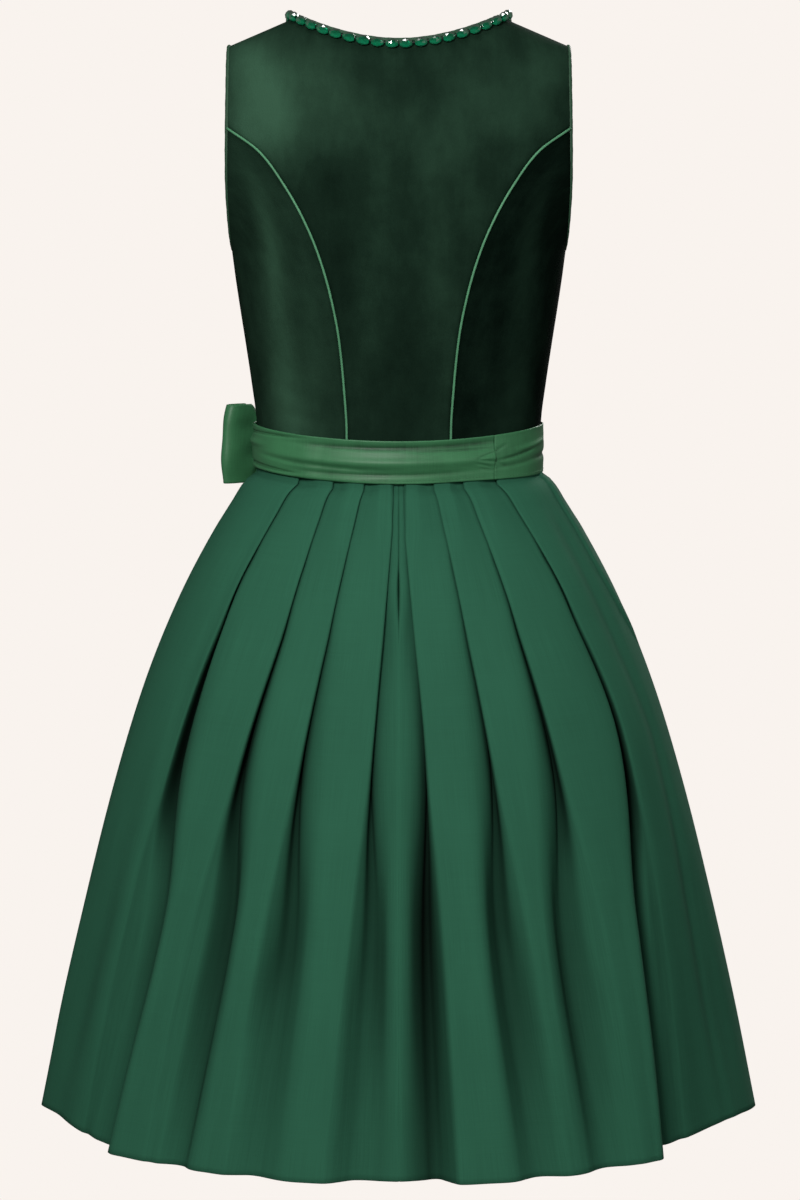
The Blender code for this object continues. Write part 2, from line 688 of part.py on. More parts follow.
def band(start, end, layer):
    """Outer and inner points of a stretch of the band, top edge to lower edge."""
    count = max(1, round((end - start) / STEP_ANGLE))
    outer = []
    inner = []
    for i in range(count + 1):
        angle = mix(start, end, i / count)
        turned = (180 - angle) % 360 - 180
        right = ramp(20.0, 80.0, turned) * (1 - ramp(100.0, 160.0, turned))
        height = BAND_HEIGHT + BAND_EXTRA_RIGHT * right
        top = BAND_TOP_Z - waist_level(angle)
        low = band_height(angle, layer)
        row_out = []
        row_in = []
        for k in (0.0, 0.5, 1.0):
            z = top - height * k
            puff = BAND_BULGE * math.sin(math.pi * k)
            row_in.append(over_ring(angle, WAIST_SHARE, low + puff, z))
            row_out.append(over_ring(angle, WAIST_SHARE, low + puff + SATIN_WALL, z))
        outer.append(row_out)
        inner.append(row_in)
    return np.array(outer), np.array(inner)


# ---------------------------------------------------------------- form of the apron, bow and tails
def apron_height(angle, share):
    """Inner face of the apron, out from the skirt's plain form: clear of the folds below it."""
    low = SKIRT_WALL / 2 + 2 * PLEAT_PITCH + APRON_CLEAR + 0.0065 * ramp(0.03, 0.9, share)
    return mix(stack(angle) + APRON_CLEAR, low, ramp(0.035, 0.12, share))


def apron_crest(angle, share):
    """Outermost reach of the apron's gathers."""
    return apron_height(angle, share) + APRON_SWING * ramp(0.02, 0.8, share) + APRON_WALL


def apron_grid():
    steps = APRON_GATHERS * 4
    outer = []
    inner = []
    for drop in APRON_ROWS:
        share = max(0.001, drop / SKIRT_LENGTH)
        half = 180 - mix(APRON_EDGE_TOP, APRON_EDGE_HEM, ramp(0.0, APRON_END, share))
        swing = APRON_SWING * ramp(0.02, 0.8, share)
        row_out = []
        row_in = []
        for i in range(steps + 1):
            across = mix(-1.0, 1.0, i / steps)
            angle = 180 + across * half
            wave = 0.5 - 0.5 * math.cos(2 * math.pi * APRON_GATHERS * (across + 1) / 2)
            height = apron_height(angle, share) + swing * wave
            z = WAIST_Z - drop - waist_level(angle) * (1 - share) ** 2
            row_in.append(over_ring(angle, share, height, z))
            row_out.append(over_ring(angle, share, height + APRON_WALL, z))
        outer.append(row_out)
        inner.append(row_in)
    return np.array(outer), np.array(inner)


def knot_frame():
    """Centre of the knot, direction along the band toward the side, and direction out."""
    z = BAND_TOP_Z - BAND_HEIGHT / 2 - KNOT_DROP
    height = band_height(KNOT_ANGLE, "tie") + SATIN_WALL + BAND_BULGE + BOW_CLEAR + KNOT_SIZE[1] / 2
    here = over_ring(KNOT_ANGLE, WAIST_SHARE, height, z)
    beyond = over_ring(KNOT_ANGLE, WAIST_SHARE, height + KNOT_SIZE[1], z)
    out = (beyond - here) / np.linalg.norm(beyond - here)
    along = np.cross(out, (0, 0, 1))
    if along[1] < 0:
        along = -along
    return here, along, out


def bow_loop(side):
    """Outer and inner points of a loop: a ribbon out from the knot and back to it."""
    centre, along, out = knot_frame()
    start = KNOT_SIZE[0] / 2 + SEAM_GAP
    path = []
    for i in range(LOOP_STEPS + 1):
        turn = math.pi * i / LOOP_STEPS
        reach = start + LOOP_LENGTH * math.sin(turn) ** 0.75
        swell = mix(LOOP_GAPE_KNOT, LOOP_GAPE, math.sin(turn) ** 0.9)
        path.append((side * reach, -math.cos(turn) * swell - SATIN_WALL, math.sin(turn)))
    flat = [(p[0], p[1]) for p in path]
    one, two = thicken(flat, SATIN_WALL)
    if side > 0:
        one, two = two, one
    layers = []
    for line in (one, two):
        rows = []
        for k in LOOP_LINES:
            row = []
            for (a, o), (_, _, spread) in zip(line, path):
                height = mix(LOOP_HEIGHT_KNOT, LOOP_HEIGHT_END, ramp(0.0, 0.36, spread)) / 2
                row.append(centre + along * a + out * o + np.array((0, 0, k * height)))
            rows.append(row)
        layers.append(np.array(rows))
    return layers


def tail(which):
    """Outer and inner points of a hanging end of the tie, over the apron."""
    start, end, lift = TAILS[which]
    outer = []
    inner = []
    for i in range(TAIL_STEPS + 1):
        down = i / TAIL_STEPS
        z = BAND_TOP_Z - BAND_HEIGHT - TAIL_DROP - TAIL_LENGTH * down
        share = min(1.0, max(0.0, (WAIST_Z - z) / SKIRT_LENGTH))
        widened = mix(TAIL_WIDTH_TOP, TAIL_WIDTH_END, ramp(0.0, 0.6, down))
        width = widened * 90.0 / Ring(share, True).run[-1]
        wave = TAIL_WAVE * ramp(0, 0.4, down)
        row_out = []
        row_in = []
        for across in TAIL_LINES:
            here = KNOT_ANGLE + mix(start, end, down) + across * width
            height = apron_crest(here, share) + lift + wave * math.cos(2 * math.pi * across)
            row_in.append(over_ring(here, share, height, z))
            row_out.append(over_ring(here, share, height + SATIN_WALL, z))
        outer.append(row_out)
        inner.append(row_in)
    return np.array(outer), np.array(inner)


# ---------------------------------------------------------------- building
def clear_scene():
    for item in list(bpy.data.objects):
        bpy.data.objects.remove(item, do_unlink=True)


def finish(name):
    found = bpy.data.materials.get(name)
    if found:
        return found
    colour, rough, metal = COLOURS[name]
    made = bpy.data.materials.new(name)
    made.use_nodes = True
    shader = made.node_tree.nodes["Principled BSDF"]
    shader.inputs["Base Color"].default_value = (*colour, 1.0)
    shader.inputs["Roughness"].default_value = rough
    shader.inputs["Metallic"].default_value = metal
    made.diffuse_color = (*colour, 1.0)
    return made


def add_object(name, data, material, collection):
    data.materials.append(finish(material))
    item = bpy.data.objects.new(name, data)
    collection.objects.link(item)
    return item


def cloth_wall(name, outer, inner, material, collection, swept_rows=0, spread=1):
    """Closed wall between an outer and an inner net of points, both rows by columns.

    Swept rows spread toward their last column as they fall (spread 1) or toward their first
    (-1), and so do their faces' diagonals.
    """
    rows, columns = outer.shape[:2]
    count = rows * columns
    points = [tuple(p) for net in (outer, inner) for row in net for p in row]

    def at(layer, r, c):
        return layer * count + r * columns + c

    faces = []
    for r in range(rows - 1):
        for c in range(columns - 1):
            corners = ((r, c), (r, c + 1), (r + 1, c + 1), (r + 1, c))
            falling = np.linalg.norm(outer[r, c] - outer[r + 1, c + 1])
            rising = np.linalg.norm(outer[r, c + 1] - outer[r + 1, c])
            falls = spread > 0 if r < swept_rows else falling < rising
            first = 0 if falls else 1
            # both faces of the wall are split along the same diagonal, so they stay a wall apart
            for turn in (first, first + 2):
                one, two, three = (corners[(turn + k) % 4] for k in range(3))
                faces.append((at(0, *one), at(0, *two), at(0, *three)))
                faces.append((at(1, *three), at(1, *two), at(1, *one)))
    for r in range(rows - 1):
        faces.append((at(0, r, 0), at(0, r + 1, 0), at(1, r + 1, 0), at(1, r, 0)))
        last = columns - 1
        faces.append((at(0, r + 1, last), at(0, r, last), at(1, r, last), at(1, r + 1, last)))
    for c in range(columns - 1):
        faces.append((at(0, 0, c + 1), at(0, 0, c), at(1, 0, c), at(1, 0, c + 1)))
        low = rows - 1
        faces.append((at(0, low, c), at(0, low, c + 1), at(1, low, c + 1), at(1, low, c)))
    mesh = bpy.data.meshes.new(name)
    mesh.from_pydata(points, [], faces)
    mesh.update()
    if signed_volume(mesh) < 0:
        mesh.flip_normals()
    mesh.shade_smooth()
    mesh.set_sharp_from_angle(angle=math.radians(40))
    return add_object(name, mesh, material, collection)


def signed_volume(mesh):
    total = 0.0
    for face in mesh.polygons:
        corners = [mesh.vertices[i].co for i in face.vertices]
        for i in range(1, len(corners) - 1):
            total += corners[0].dot(corners[i].cross(corners[i + 1])) / 6
    return total


def mirrored(net):
    return net * np.array((-1.0, 1.0, 1.0))


def tube(name, path, radii, material, collection, closed=False, sides=1):
    """Round cord along a path, as a curve with a bevel."""
    data = bpy.data.curves.new(name, "CURVE")
    data.dimensions = "3D"
    data.bevel_depth = max(radii)
    data.bevel_resolution = sides
    data.use_fill_caps = not closed
    line = data.splines.new("POLY")
    line.points.add(len(path) - 1)
    for point, place, radius in zip(line.points, path, radii):
        point.co = (*place, 1.0)
        point.radius = radius / max(radii)
    line.use_cyclic_u = closed
    return add_object(name, data, material, collection)


def moved_out(points, normals, distance):
    return [p + n * distance for p, n in zip(points, normals)]


def seam_path(front):
    """Points and directions along the shaped seam, on the outer face."""
    seam, _ = seam_levels(front)
    points = []
    normals = []
    for z in seam:
        x = min(column(seam_table(front), 1, z), edge_half_width(z, front))
        point, out = body_point(x, z, front)
        points.append(point)
        normals.append(out)
    return points, normals


def away_from_cloth(points, normals, inward):
    """Directions out of the cloth's edge, level with the cloth, round a closed edge."""
    points = np.array(points)
    along = np.roll(points, -1, axis=0) - np.roll(points, 1, axis=0)
    away = np.cross(along, np.array(normals))
    away /= np.linalg.norm(away, axis=1)[:, None]
    if np.sum(away * (inward - points)) > 0:
        away = -away
    return away


def build_bodice(collection):
    outer, inner = back_centre_panel()
    both_out = np.concatenate((mirrored(outer)[:, :0:-1], outer), axis=1)
    both_in = np.concatenate((mirrored(inner)[:, :0:-1], inner), axis=1)
    cloth_wall("bodice_back_centre", both_out, both_in, "velvet", collection)
    outer, inner = front_centre_panel()
    outer[:, 0, 0] += SEAM_GAP / 2
    inner[:, 0, 0] += SEAM_GAP / 2
    cloth_wall("bodice_front_left", outer, inner, "velvet", collection)
    cloth_wall("bodice_front_right", mirrored(outer), mirrored(inner), "velvet", collection)
    for front, word in ((False, "back"), (True, "front")):
        outer, inner = side_panel(front)
        cloth_wall(f"bodice_side_{word}_left", outer, inner, "velvet", collection)
        cloth_wall(f"bodice_side_{word}_right", mirrored(outer), mirrored(inner), "velvet", collection)


def build_trim(collection):
    points, normals = seam_path(False)
    path = moved_out(points, normals, PIPING_RADIUS + SEAM_PIPING_CLEAR)
    for side, word in ((1, "left"), (-1, "right")):
        line = [p * np.array((side, 1, 1)) for p in path]
        tube(f"seam_piping_{word}", line, [PIPING_RADIUS] * len(line), "satin", collection)
    edge_points, edge_normals, inward = armhole_edge()
    away = away_from_cloth(edge_points, edge_normals, inward)
    shift = PIPING_RADIUS + ARMHOLE_PIPING_CLEAR
    loop = [p - n * VELVET_WALL / 2 + a * shift for p, n, a in zip(edge_points, edge_normals, away)]
    for side, word in ((1, "left"), (-1, "right")):
        line = [p * np.array((side, 1, 1)) for p in loop]
        tube(f"armhole_piping_{word}", line, [PIPING_RADIUS] * len(line), "satin", collection, closed=True)
    build_neck_trim(collection)


def armhole_edge():
    """Points and directions round the left armhole, and a point of the cloth side of it."""
    points = []
    normals = []
    for front in (False, True):
        part_points = []
        part_normals = []
        _, arm = seam_levels(front)
        outer, _ = side_panel(front)
        for point in outer[-1][::-1]:
            place, out = body_point(abs(point[0]), point[2], front)
            part_points.append(place)
            part_normals.append(out)
        for z in arm:
            place, out = body_point(edge_half_width(z, front), z, front)
            part_points.append(place)
            part_normals.append(out)
        if front:
            part_points = part_points[::-1][1:-1]
            part_normals = part_normals[::-1][1:-1]
        points += part_points
        normals += part_normals
    return points, normals, np.array((0.0, 0.0, -0.25))


def neck_edge_line(front, columns):
    """Points and directions along half the neck edge, from the centre to the neck point."""
    points = []
    normals = []
    for share in columns:
        x = NECK_HALF * share
        point, out = body_point(x, neck_edge(x, front), front)
        points.append(point)
        normals.append(out)
    return points, normals


def neck_loop(back_columns, front_columns):
    """The whole neck edge, from centre back round by the wearer's left."""
    flip = np.array((-1.0, 1.0, 1.0))
    back, back_n = neck_edge_line(False, back_columns)
    front, front_n = neck_edge_line(True, front_columns)
    half = back + front[-2::-1]
    half_n = back_n + front_n[-2::-1]
    other = [p * flip for p in half[-2:0:-1]]
    other_n = [n * flip for n in half_n[-2:0:-1]]
    return half + other, half_n + other_n, len(back) - 1


def build_neck_trim(collection):
    low = np.array((0.0, 0.0, -0.6))
    points, normals, _ = neck_loop(NECK_COLUMNS_BACK, NECK_COLUMNS_FRONT)
    away = away_from_cloth(points, normals, low)
    shift = PIPING_RADIUS + NECK_PIPING_CLEAR
    loop = [p - n * VELVET_WALL / 2 + a * shift for p, n, a in zip(points, normals, away)]
    tube("neck_piping", loop, [PIPING_RADIUS] * len(loop), "satin", collection, closed=True)
    back = [1 - (1 - i / BEAD_ROUTE_STEPS) ** 2 for i in range(BEAD_ROUTE_STEPS + 1)]
    front = [math.sin(math.pi / 2 * share) ** (2 / NECK_SQUARE) for share in back]
    points, normals, turn = neck_loop(back, front)
    away = away_from_cloth(points, normals, low)
    string = [p - a * BEAD_INSET + n * (BEAD_RADIUS + BEAD_CLEAR) for p, n, a in zip(points, normals, away)]
    count = len(points)
    back = [string[i % count] for i in range(count - turn, count + turn + 1)]
    front = [string[i] for i in range(turn, count - turn + 1)]
    for word, route in (("back", back), ("front", front)):
        bead_string(f"bead_string_{word}", route, collection)


def bead_string(name, route, collection):
    """Beads on a thread: a cord whose radius swells at each bead."""
    route = np.array(route)
    run = np.concatenate(((0,), np.cumsum(np.linalg.norm(np.diff(route, axis=0), axis=1))))
    length = run[-1] - BEAD_PITCH * 0.35
    count = int(length / BEAD_PITCH)
    pitch = length / count
    path = []
    radii = []
    for i in range(count):
        start = BEAD_PITCH * 0.175 + i * pitch
        for share, radius in ((0.07, THREAD_RADIUS), (0.30, BEAD_RADIUS), (0.70, BEAD_RADIUS),
                              (0.93, THREAD_RADIUS)):
            at = start + share * pitch
            path.append(np.array([np.interp(at, run, route[:, k]) for k in range(3)]))
            radii.append(radius)
    tube(name, path, radii, "glass", collection)


def build_skirt(collection):
    for front, name in ((False, "skirt_back"), (True, "skirt_front")):
        outer, inner = skirt_panel(front)
        centre = outer.shape[1] // 2
        for side, word, part in ((1, "left", slice(centre, None)), (-1, "right", slice(None, centre + 1))):
            one, two = outer[:, part].copy(), inner[:, part].copy()
            for net in (one, two):
                net[:, 0 if side > 0 else -1, 0] = side * SEAM_GAP / 2
            cloth_wall(f"{name}_{word}", one, two, "twill", collection, swept_rows=SWEPT_ROWS, spread=side)


def build_band(collection):
    gap = math.degrees(SEAM_GAP / 2 / SKIRT[0][1])
    outer, inner = band(JOIN_ANGLE + gap, KNOT_ANGLE + 5.0, "tie")
    cloth_wall("waist_tie", outer, inner, "satin", collection)
    outer, inner = band(UNDERLAP_ANGLE, JOIN_ANGLE + 360 - gap, "waistband")
    cloth_wall("apron_waistband", outer, inner, "satin", collection)
    outer, inner = apron_grid()
    cloth_wall("apron_panel", outer, inner, "satin", collection)


def build_bow(collection):
    centre, along, out = knot_frame()
    bpy.ops.mesh.primitive_cube_add(size=1.0, location=(0, 0, 0))
    knot = bpy.context.object
    knot.name = "bow_knot"
    for old in list(knot.users_collection):
        old.objects.unlink(knot)
    collection.objects.link(knot)
    for corner in knot.data.vertices:
        local = corner.co
        corner.co = tuple(centre + along * local.x * KNOT_SIZE[0] + out * local.y * KNOT_SIZE[1]
                          + np.array((0, 0, local.z * KNOT_SIZE[2])))
    if signed_volume(knot.data) < 0:
        knot.data.flip_normals()
    knot.data.materials.append(finish("satin"))
    bevel = knot.modifiers.new("rounding", "BEVEL")
    bevel.width = KNOT_ROUNDING
    bevel.segments = 3
    for side, word in ((1, "side"), (-1, "front")):
        outer, inner = bow_loop(side)
        cloth_wall(f"bow_loop_{word}", outer, inner, "satin", collection)
    for which in TAILS:
        outer, inner = tail(which)
        cloth_wall(f"tie_tail_{which}", outer, inner, "satin", collection)


def main():
    clear_scene()
    collection = bpy.data.collections.new("dirndl_dress")
    bpy.context.scene.collection.children.link(collection)
    build_bodice(collection)
    build_trim(collection)
    build_skirt(collection)
    build_band(collection)
    build_bow(collection)


main()
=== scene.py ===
"""Looks of a dirndl dress: velvet bodice, beaded neckline, pleated skirt, satin apron and its tied band.

Metres, +Z up, in the frame's own axes: the front of the dress faces -Y and the wearer's left is +X.
"""
import functools
import math

import bpy
import numpy as np
from bpy.props import FloatProperty, FloatVectorProperty, IntProperty, PointerProperty
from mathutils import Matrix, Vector


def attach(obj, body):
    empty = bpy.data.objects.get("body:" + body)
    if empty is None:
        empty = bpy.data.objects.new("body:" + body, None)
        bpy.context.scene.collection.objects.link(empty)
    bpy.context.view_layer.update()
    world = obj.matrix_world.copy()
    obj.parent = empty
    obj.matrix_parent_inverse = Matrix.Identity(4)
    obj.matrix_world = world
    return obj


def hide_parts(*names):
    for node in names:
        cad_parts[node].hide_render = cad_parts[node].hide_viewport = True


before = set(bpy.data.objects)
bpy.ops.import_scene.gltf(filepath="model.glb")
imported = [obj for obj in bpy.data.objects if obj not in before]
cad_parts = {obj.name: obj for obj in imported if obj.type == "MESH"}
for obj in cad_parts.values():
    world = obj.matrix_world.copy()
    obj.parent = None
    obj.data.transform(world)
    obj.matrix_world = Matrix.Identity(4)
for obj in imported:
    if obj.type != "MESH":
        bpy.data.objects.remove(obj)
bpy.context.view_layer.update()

bl_info = {
    "name": "Dirndl Dress",
    "version": (1, 0, 0),
    "blender": (4, 5, 0),
    "location": "View3D > Sidebar > Dirndl",
    "description": "Dresses the frame of a dirndl in velvet, twill, satin and cut glass beads",
    "category": "Object",
}

# ---------------- form of the dress, as in the frame
SEAM_GAP = 0.0004
VELVET_WALL = 0.0015
SKIRT_WALL = 0.0010
SATIN_WALL = 0.0011

NECK_HALF = 0.0945
SHOULDER_HALF = 0.1632
SHOULDER_DROP = 0.0294
NECK_DIP_BACK = 0.0228
NECK_DIP_FRONT = 0.1650
NECK_SQUARE = 2.6
UNDERARM_Z = -0.2205
WAIST_Z = -0.4200
HEM_Z = -1.0625
SKIRT_LENGTH = WAIST_Z - HEM_Z
WAIST_DIP_BACK = 0.0100
WAIST_DIP_FRONT = 0.0060
ARMHOLE_BACK = 0.0500
ARMHOLE_FRONT = 0.0560
ARMHOLE_CUT_IN = 0.0100
ARMHOLE_MID_Z = (UNDERARM_Z - SHOULDER_DROP) / 2
ARMHOLE_HALF_Z = (-SHOULDER_DROP - UNDERARM_Z) / 2
WAIST_SQUARE = 2.00
BACK_SQUARE = 2.15
FRONT_SQUARE = 2.40

BEAD_PITCH = 0.0136
BEAD_INSET = 0.0085
BEAD_ROUTE_STEPS = 60

BAND_TOP_Z = -0.3889
BAND_HEIGHT = 0.0400
BAND_EXTRA_RIGHT = 0.0060
BAND_BULGE = 0.0008
BAND_CLEAR = 0.0014
WAIST_SHARE = 0.004
LAYER_GAP = 0.0006
JOIN_ANGLE = -40.0
UNDERLAP_ANGLE = 44.0
KNOT_ANGLE = 128.0

PLEAT_PITCH = 0.0018
PLEAT_OVERLAP = 0.0105
PRESSED_TO = 0.07
LIFTED_AT = 0.14
OPEN_FROM = 0.25
SOFT_FROM = 0.33
SOFT_AT = 0.78
SOFT_STEPS = (0.0, 0.15, 0.30, 0.45, 0.60, 0.74, 0.86, 0.95, 1.0)
CENTRE_CLEAR = 0.0009
HEM_DEPTH_BACK = 0.2850
HEM_DEPTH_FRONT = 0.2500
HEM_SQUARE = 1.80
HEM_LIFT = {"back_left": 0.0120, "back_right": 0.0060, "front": 0.0}
CROWN_BACK = 0.0100
CROWN_FRONT = 0.0060

APRON_EDGE_TOP = 104.0
APRON_EDGE_HEM = 116.0
APRON_END = 0.92
APRON_GATHERS = 7
APRON_WALL = 0.0010
APRON_CLEAR = 0.0006
APRON_SWING = 0.0090
APRON_TOP_DROP = -0.018
APRON_HEM_DROP = 0.591

LOOP_LENGTH = 0.0520
LOOP_HEIGHT_KNOT = 0.0340
LOOP_HEIGHT_END = 0.0760
LOOP_GAPE = 0.0120
LOOP_GAPE_KNOT = 0.0016
KNOT_SIZE = (0.0320, 0.0180, 0.0440)
KNOT_DROP = 0.0030
BOW_CLEAR = 0.0005
TAIL_LENGTH = 0.340
TAIL_WIDTH_TOP = 0.026
TAIL_WIDTH_END = 0.066
TAIL_DROP = 0.0100
TAILS = {
    # start and end angle from the knot's, height above the apron
    "side": (-3.0, -6.0, 0.0035),
    "front": (3.0, 12.0, 0.0100),
}

# ---------------- finer sizes of the sewn pieces (metres)
SEAM_ROLL = 0.0024           # reach of the roll beside a seam, and its depth
SEAM_DEPTH = 0.0008
SHOULDER_ROLL = 0.6          # of that depth beside the shoulder seam
SEAM_ROLL_SHADE = 0.10             # painted shade: how much darker the pile is coloured in a roll
PIPING_SUNK = 0.0003         # cord pulled into its seam
PIPING_START = 0.012         # above the waist, under the band, and short of the armhole's binding
PIPING_SHORT = 0.0016
BINDING_PROUD = 0.0010       # binding past the cloth's edge, and its thickness
BINDING_DEPTH = 0.0030
BEAD_THREAD = 0.0008         # radius
BEAD_CUT = 0.44              # where a bead's ends are cut off, on a ball 1 across
BEAD_WAIST_TURN = 20.0       # degrees that its waist is turned by
BEAD_MARGIN = 0.175          # of the spacing, left free at each end of a string
BEAD_SLIP = 0.0004           # most that a bead sits off its place, and that it is tilted by
BEAD_TILT = 0.07
BEAD_GROWN = (0.94, 1.05)    # smallest and largest bead, in beads
BEAD_SUNK = 0.0002           # into the pile
THREAD_SHORT = 0.3           # of the spacing, that the thread ends short of its route
THREAD_STEP = 0.003
SKIRT_STEP = 0.0022          # between columns of the skirt's cloth
HEM_DEEP = 0.055             # hem turn-up: share of the length, and cloth added inside, in walls
HEM_TURN_UP = 0.9
HEM_SWAY = 0.0007
ROW_CROWDING = 1.12          # power that sets the skirt's rows closer near the band
STEPS_ACROSS = (4, 22)       # fewest and most columns between two points of a fold's line
SHADE_FROM = 0.05            # share of the half circle hidden where a fold's shade starts, and its span
SHADE_SPAN = 0.80
PRESSED_SHADE = 0.55         # of that shade where the pleats are still pressed flat
SIDE_FOLD_STEP = 0.0022
APRON_HEM_DEEP = 0.018
BAND_ROLL = 0.0003
BAND_FOLD_GAIN = 1.9         # how much deeper the bands' folds are than their tables say
BAND_TROUGH = (0.0002, 0.0024)  # depths at which a trough's shade starts and is full
TIE_STEP = 0.7               # degrees from column to column
WAISTBAND_STEP = 0.9
TIE_PAST_KNOT = 5.0          # degrees that the tie goes on under the knot
TIE_STITCHED = (-36.0, 50.0)  # angles between which each band's foot is stitched
WAISTBAND_STITCHED = (136.0, 318.0)
JOIN_STITCH_OFF = 0.45       # degrees from the join to its row of stitches
JOIN_STITCH_STEPS = 24
BAND_PAINTED_SHEEN = (56.0, 15.0, 0.45, 0.35, 0.45)      # painted highlight on the tie: angle, half-length, share down, half-width, strength
STITCH_THICK = 0.0005
STITCH_STARTS = 0.18         # where a stitch starts and how long it is, of the spacing
STITCH_SHARE = 0.64
STITCH_RISE = (-0.0002, 0.00022, 0.00022, -0.0002)
CORD_TIP = 0.02              # how far a cord's ends bulge, in steps of its path

# rows and columns of the cloth's nets, and steps along the cords
EDGE_STEPS = 90
CENTRE_ROWS = 84
BACK_COLUMNS = (30, 18)      # along the neck edge, then along the strap
FRONT_COLUMNS = 44
SIDE_NET = (70, 40)
SKIRT_BACK_ROWS = 130
SKIRT_FRONT_ROWS = 80
APRON_NET = (120, 260)
TIE_ROWS = 44
WAISTBAND_ROWS = 36
LOOP_NET = (40, 90)
TAIL_NET = (90, 36)
KNOT_NET = (44, 72)

FLOOR_SIZE = 60.0
CAMERA_LENS = 116.89         # millimetres, with a sensor so high
CAMERA_SENSOR = 36.0
CAMERA_SHIFT = 0.001
CAMERA_PLACE = (0.0, 3.75, -0.09)
CAMERA_TARGET = (0.0, 0.0, -0.561)
LAMPS = (
    # name, place, aimed at, size, watts, colour
    ("key_lamp", (0.8, 3.7, 1.2), (0.0, 0.0, -0.50), 1.0, 122.0, (1.0, 0.985, 0.96)),
    ("fill_lamp", (-2.6, 2.6, 0.3), (0.0, 0.0, -0.60), 2.0, 16.0, (1.0, 1.0, 1.0)),
    ("top_lamp", (0.3, 0.5, 1.9), (0.0, 0.0, -0.20), 1.2, 14.0, (1.0, 1.0, 1.0)),
    ("front_lamp", (-1.6, -3.2, 1.2), (0.0, 0.0, -0.50), 1.6, 90.0, (1.0, 0.99, 0.97)),
)

# half-width of the bodice at the side or armhole edge, and its depth behind and before the shoulder line
TORSO = (
    # z,     half_width, back,   front
    (0.0000, 0.0945, 0.0400, 0.0300),
    (-0.0294, 0.1632, 0.0610, 0.0460),
    (-0.0650, 0.1632, 0.0800, 0.0660),
    (-0.1000, 0.1636, 0.0930, 0.0850),
    (-0.1500, 0.1640, 0.1035, 0.1080),
    (-0.2000, 0.1621, 0.1055, 0.1240),
    (-0.2400, 0.1578, 0.1035, 0.1290),
    (-0.2700, 0.1536, 0.1010, 0.1250),
    (-0.3100, 0.1475, 0.0970, 0.1125),
    (-0.3500, 0.1417, 0.0925, 0.1015),
    (-0.3850, 0.1374, 0.0897, 0.0950),
    (-0.4200, 0.1360, 0.0885, 0.0930),
    (-0.4400, 0.1360, 0.0885, 0.0930),
)
# shaped seams from the waist to the armhole
BACK_SEAM = (
    # z,     x
    (-0.4400, 0.0487),
    (-0.3900, 0.0490),
    (-0.3488, 0.0515),
    (-0.3027, 0.0561),
    (-0.2596, 0.0645),
    (-0.2195, 0.0766),
    (-0.1878, 0.0905),
    (-0.1589, 0.1072),
    (-0.1283, 0.1305),
    (-0.1050, 0.1637),
)
FRONT_SEAM = (
    # z,     x
    (-0.4400, 0.0580),
    (-0.3800, 0.0630),
    (-0.3200, 0.0740),
    (-0.2600, 0.0860),
    (-0.2100, 0.1010),
    (-0.1650, 0.1230),
    (-0.1250, 0.1537),
)
# half-width of the skirt at its sides
SKIRT = (
    # drop,  half_width
    (0.0000, 0.1360),
    (0.0165, 0.1372),
    (0.0205, 0.1430),
    (0.0241, 0.1474),
    (0.0436, 0.1603),
    (0.0825, 0.1841),
    (0.1410, 0.2142),
    (0.2194, 0.2460),
    (0.3180, 0.2764),
    (0.4372, 0.3067),
    (0.5372, 0.3296),
    (0.6425, 0.3512),
)
STATIONS = (0.0, 0.20, 0.40, 0.65, 1.0)
PLEATS = {
    "back_left": (
        # waist, hip, thigh, knee, hem, rim_thigh, rim_knee, rim_hem,
        # deep_thigh, deep_knee, deep_hem, recess, lean
        (1.2, 3.8, 5.9, 6.9, 10.5, 3.6, 4.6, 6.0, 0.010, 0.014, 0.008, 0.000, 0.0),
        (13.5, 17.5, 21.0, 23.4, 27.0, 3.6, 5.2, 6.0, 0.011, 0.014, -0.001, 0.000, -0.4),
        (26.5, 29.8, 34.6, 38.2, 42.0, 3.0, 6.2, 6.2, 0.014, 0.018, 0.000, 0.001, 0.7),
        (42.5, 50.6, 54.3, 56.8, 58.6, 4.5, 9.2, 6.4, 0.018, 0.022, 0.006, 0.008, 1.0),
    ),
    "back_right": (
        (0.8, 3.7, 6.0, 6.5, 8.6, 3.4, 4.2, 5.5, 0.013, 0.022, 0.014, 0.000, -0.8),
        (13.6, 17.0, 20.0, 22.0, 26.0, 3.0, 4.2, 5.0, 0.010, 0.014, -0.001, 0.000, 0.0),
        (25.8, 31.0, 34.8, 37.2, 39.5, 3.5, 7.0, 7.5, 0.013, 0.015, -0.001, 0.000, 0.4),
        (41.0, 51.0, 56.2, 56.2, 55.2, 2.0, 7.0, 8.6, 0.017, 0.028, 0.032, 0.028, 1.0),
    ),
    "front": (
        (10.0, 12.0, 15.0, 17.5, 20.0, 3.0, 4.0, 4.5, 0.008, 0.008, 0.002, 0.000, 0.0),
        (27.0, 30.5, 34.0, 37.0, 40.0, 3.5, 5.0, 5.5, 0.009, 0.010, 0.003, 0.000, 0.0),
        (43.0, 49.0, 53.0, 56.0, 58.0, 4.0, 6.0, 6.0, 0.012, 0.014, 0.005, 0.004, 0.5),
    ),
}


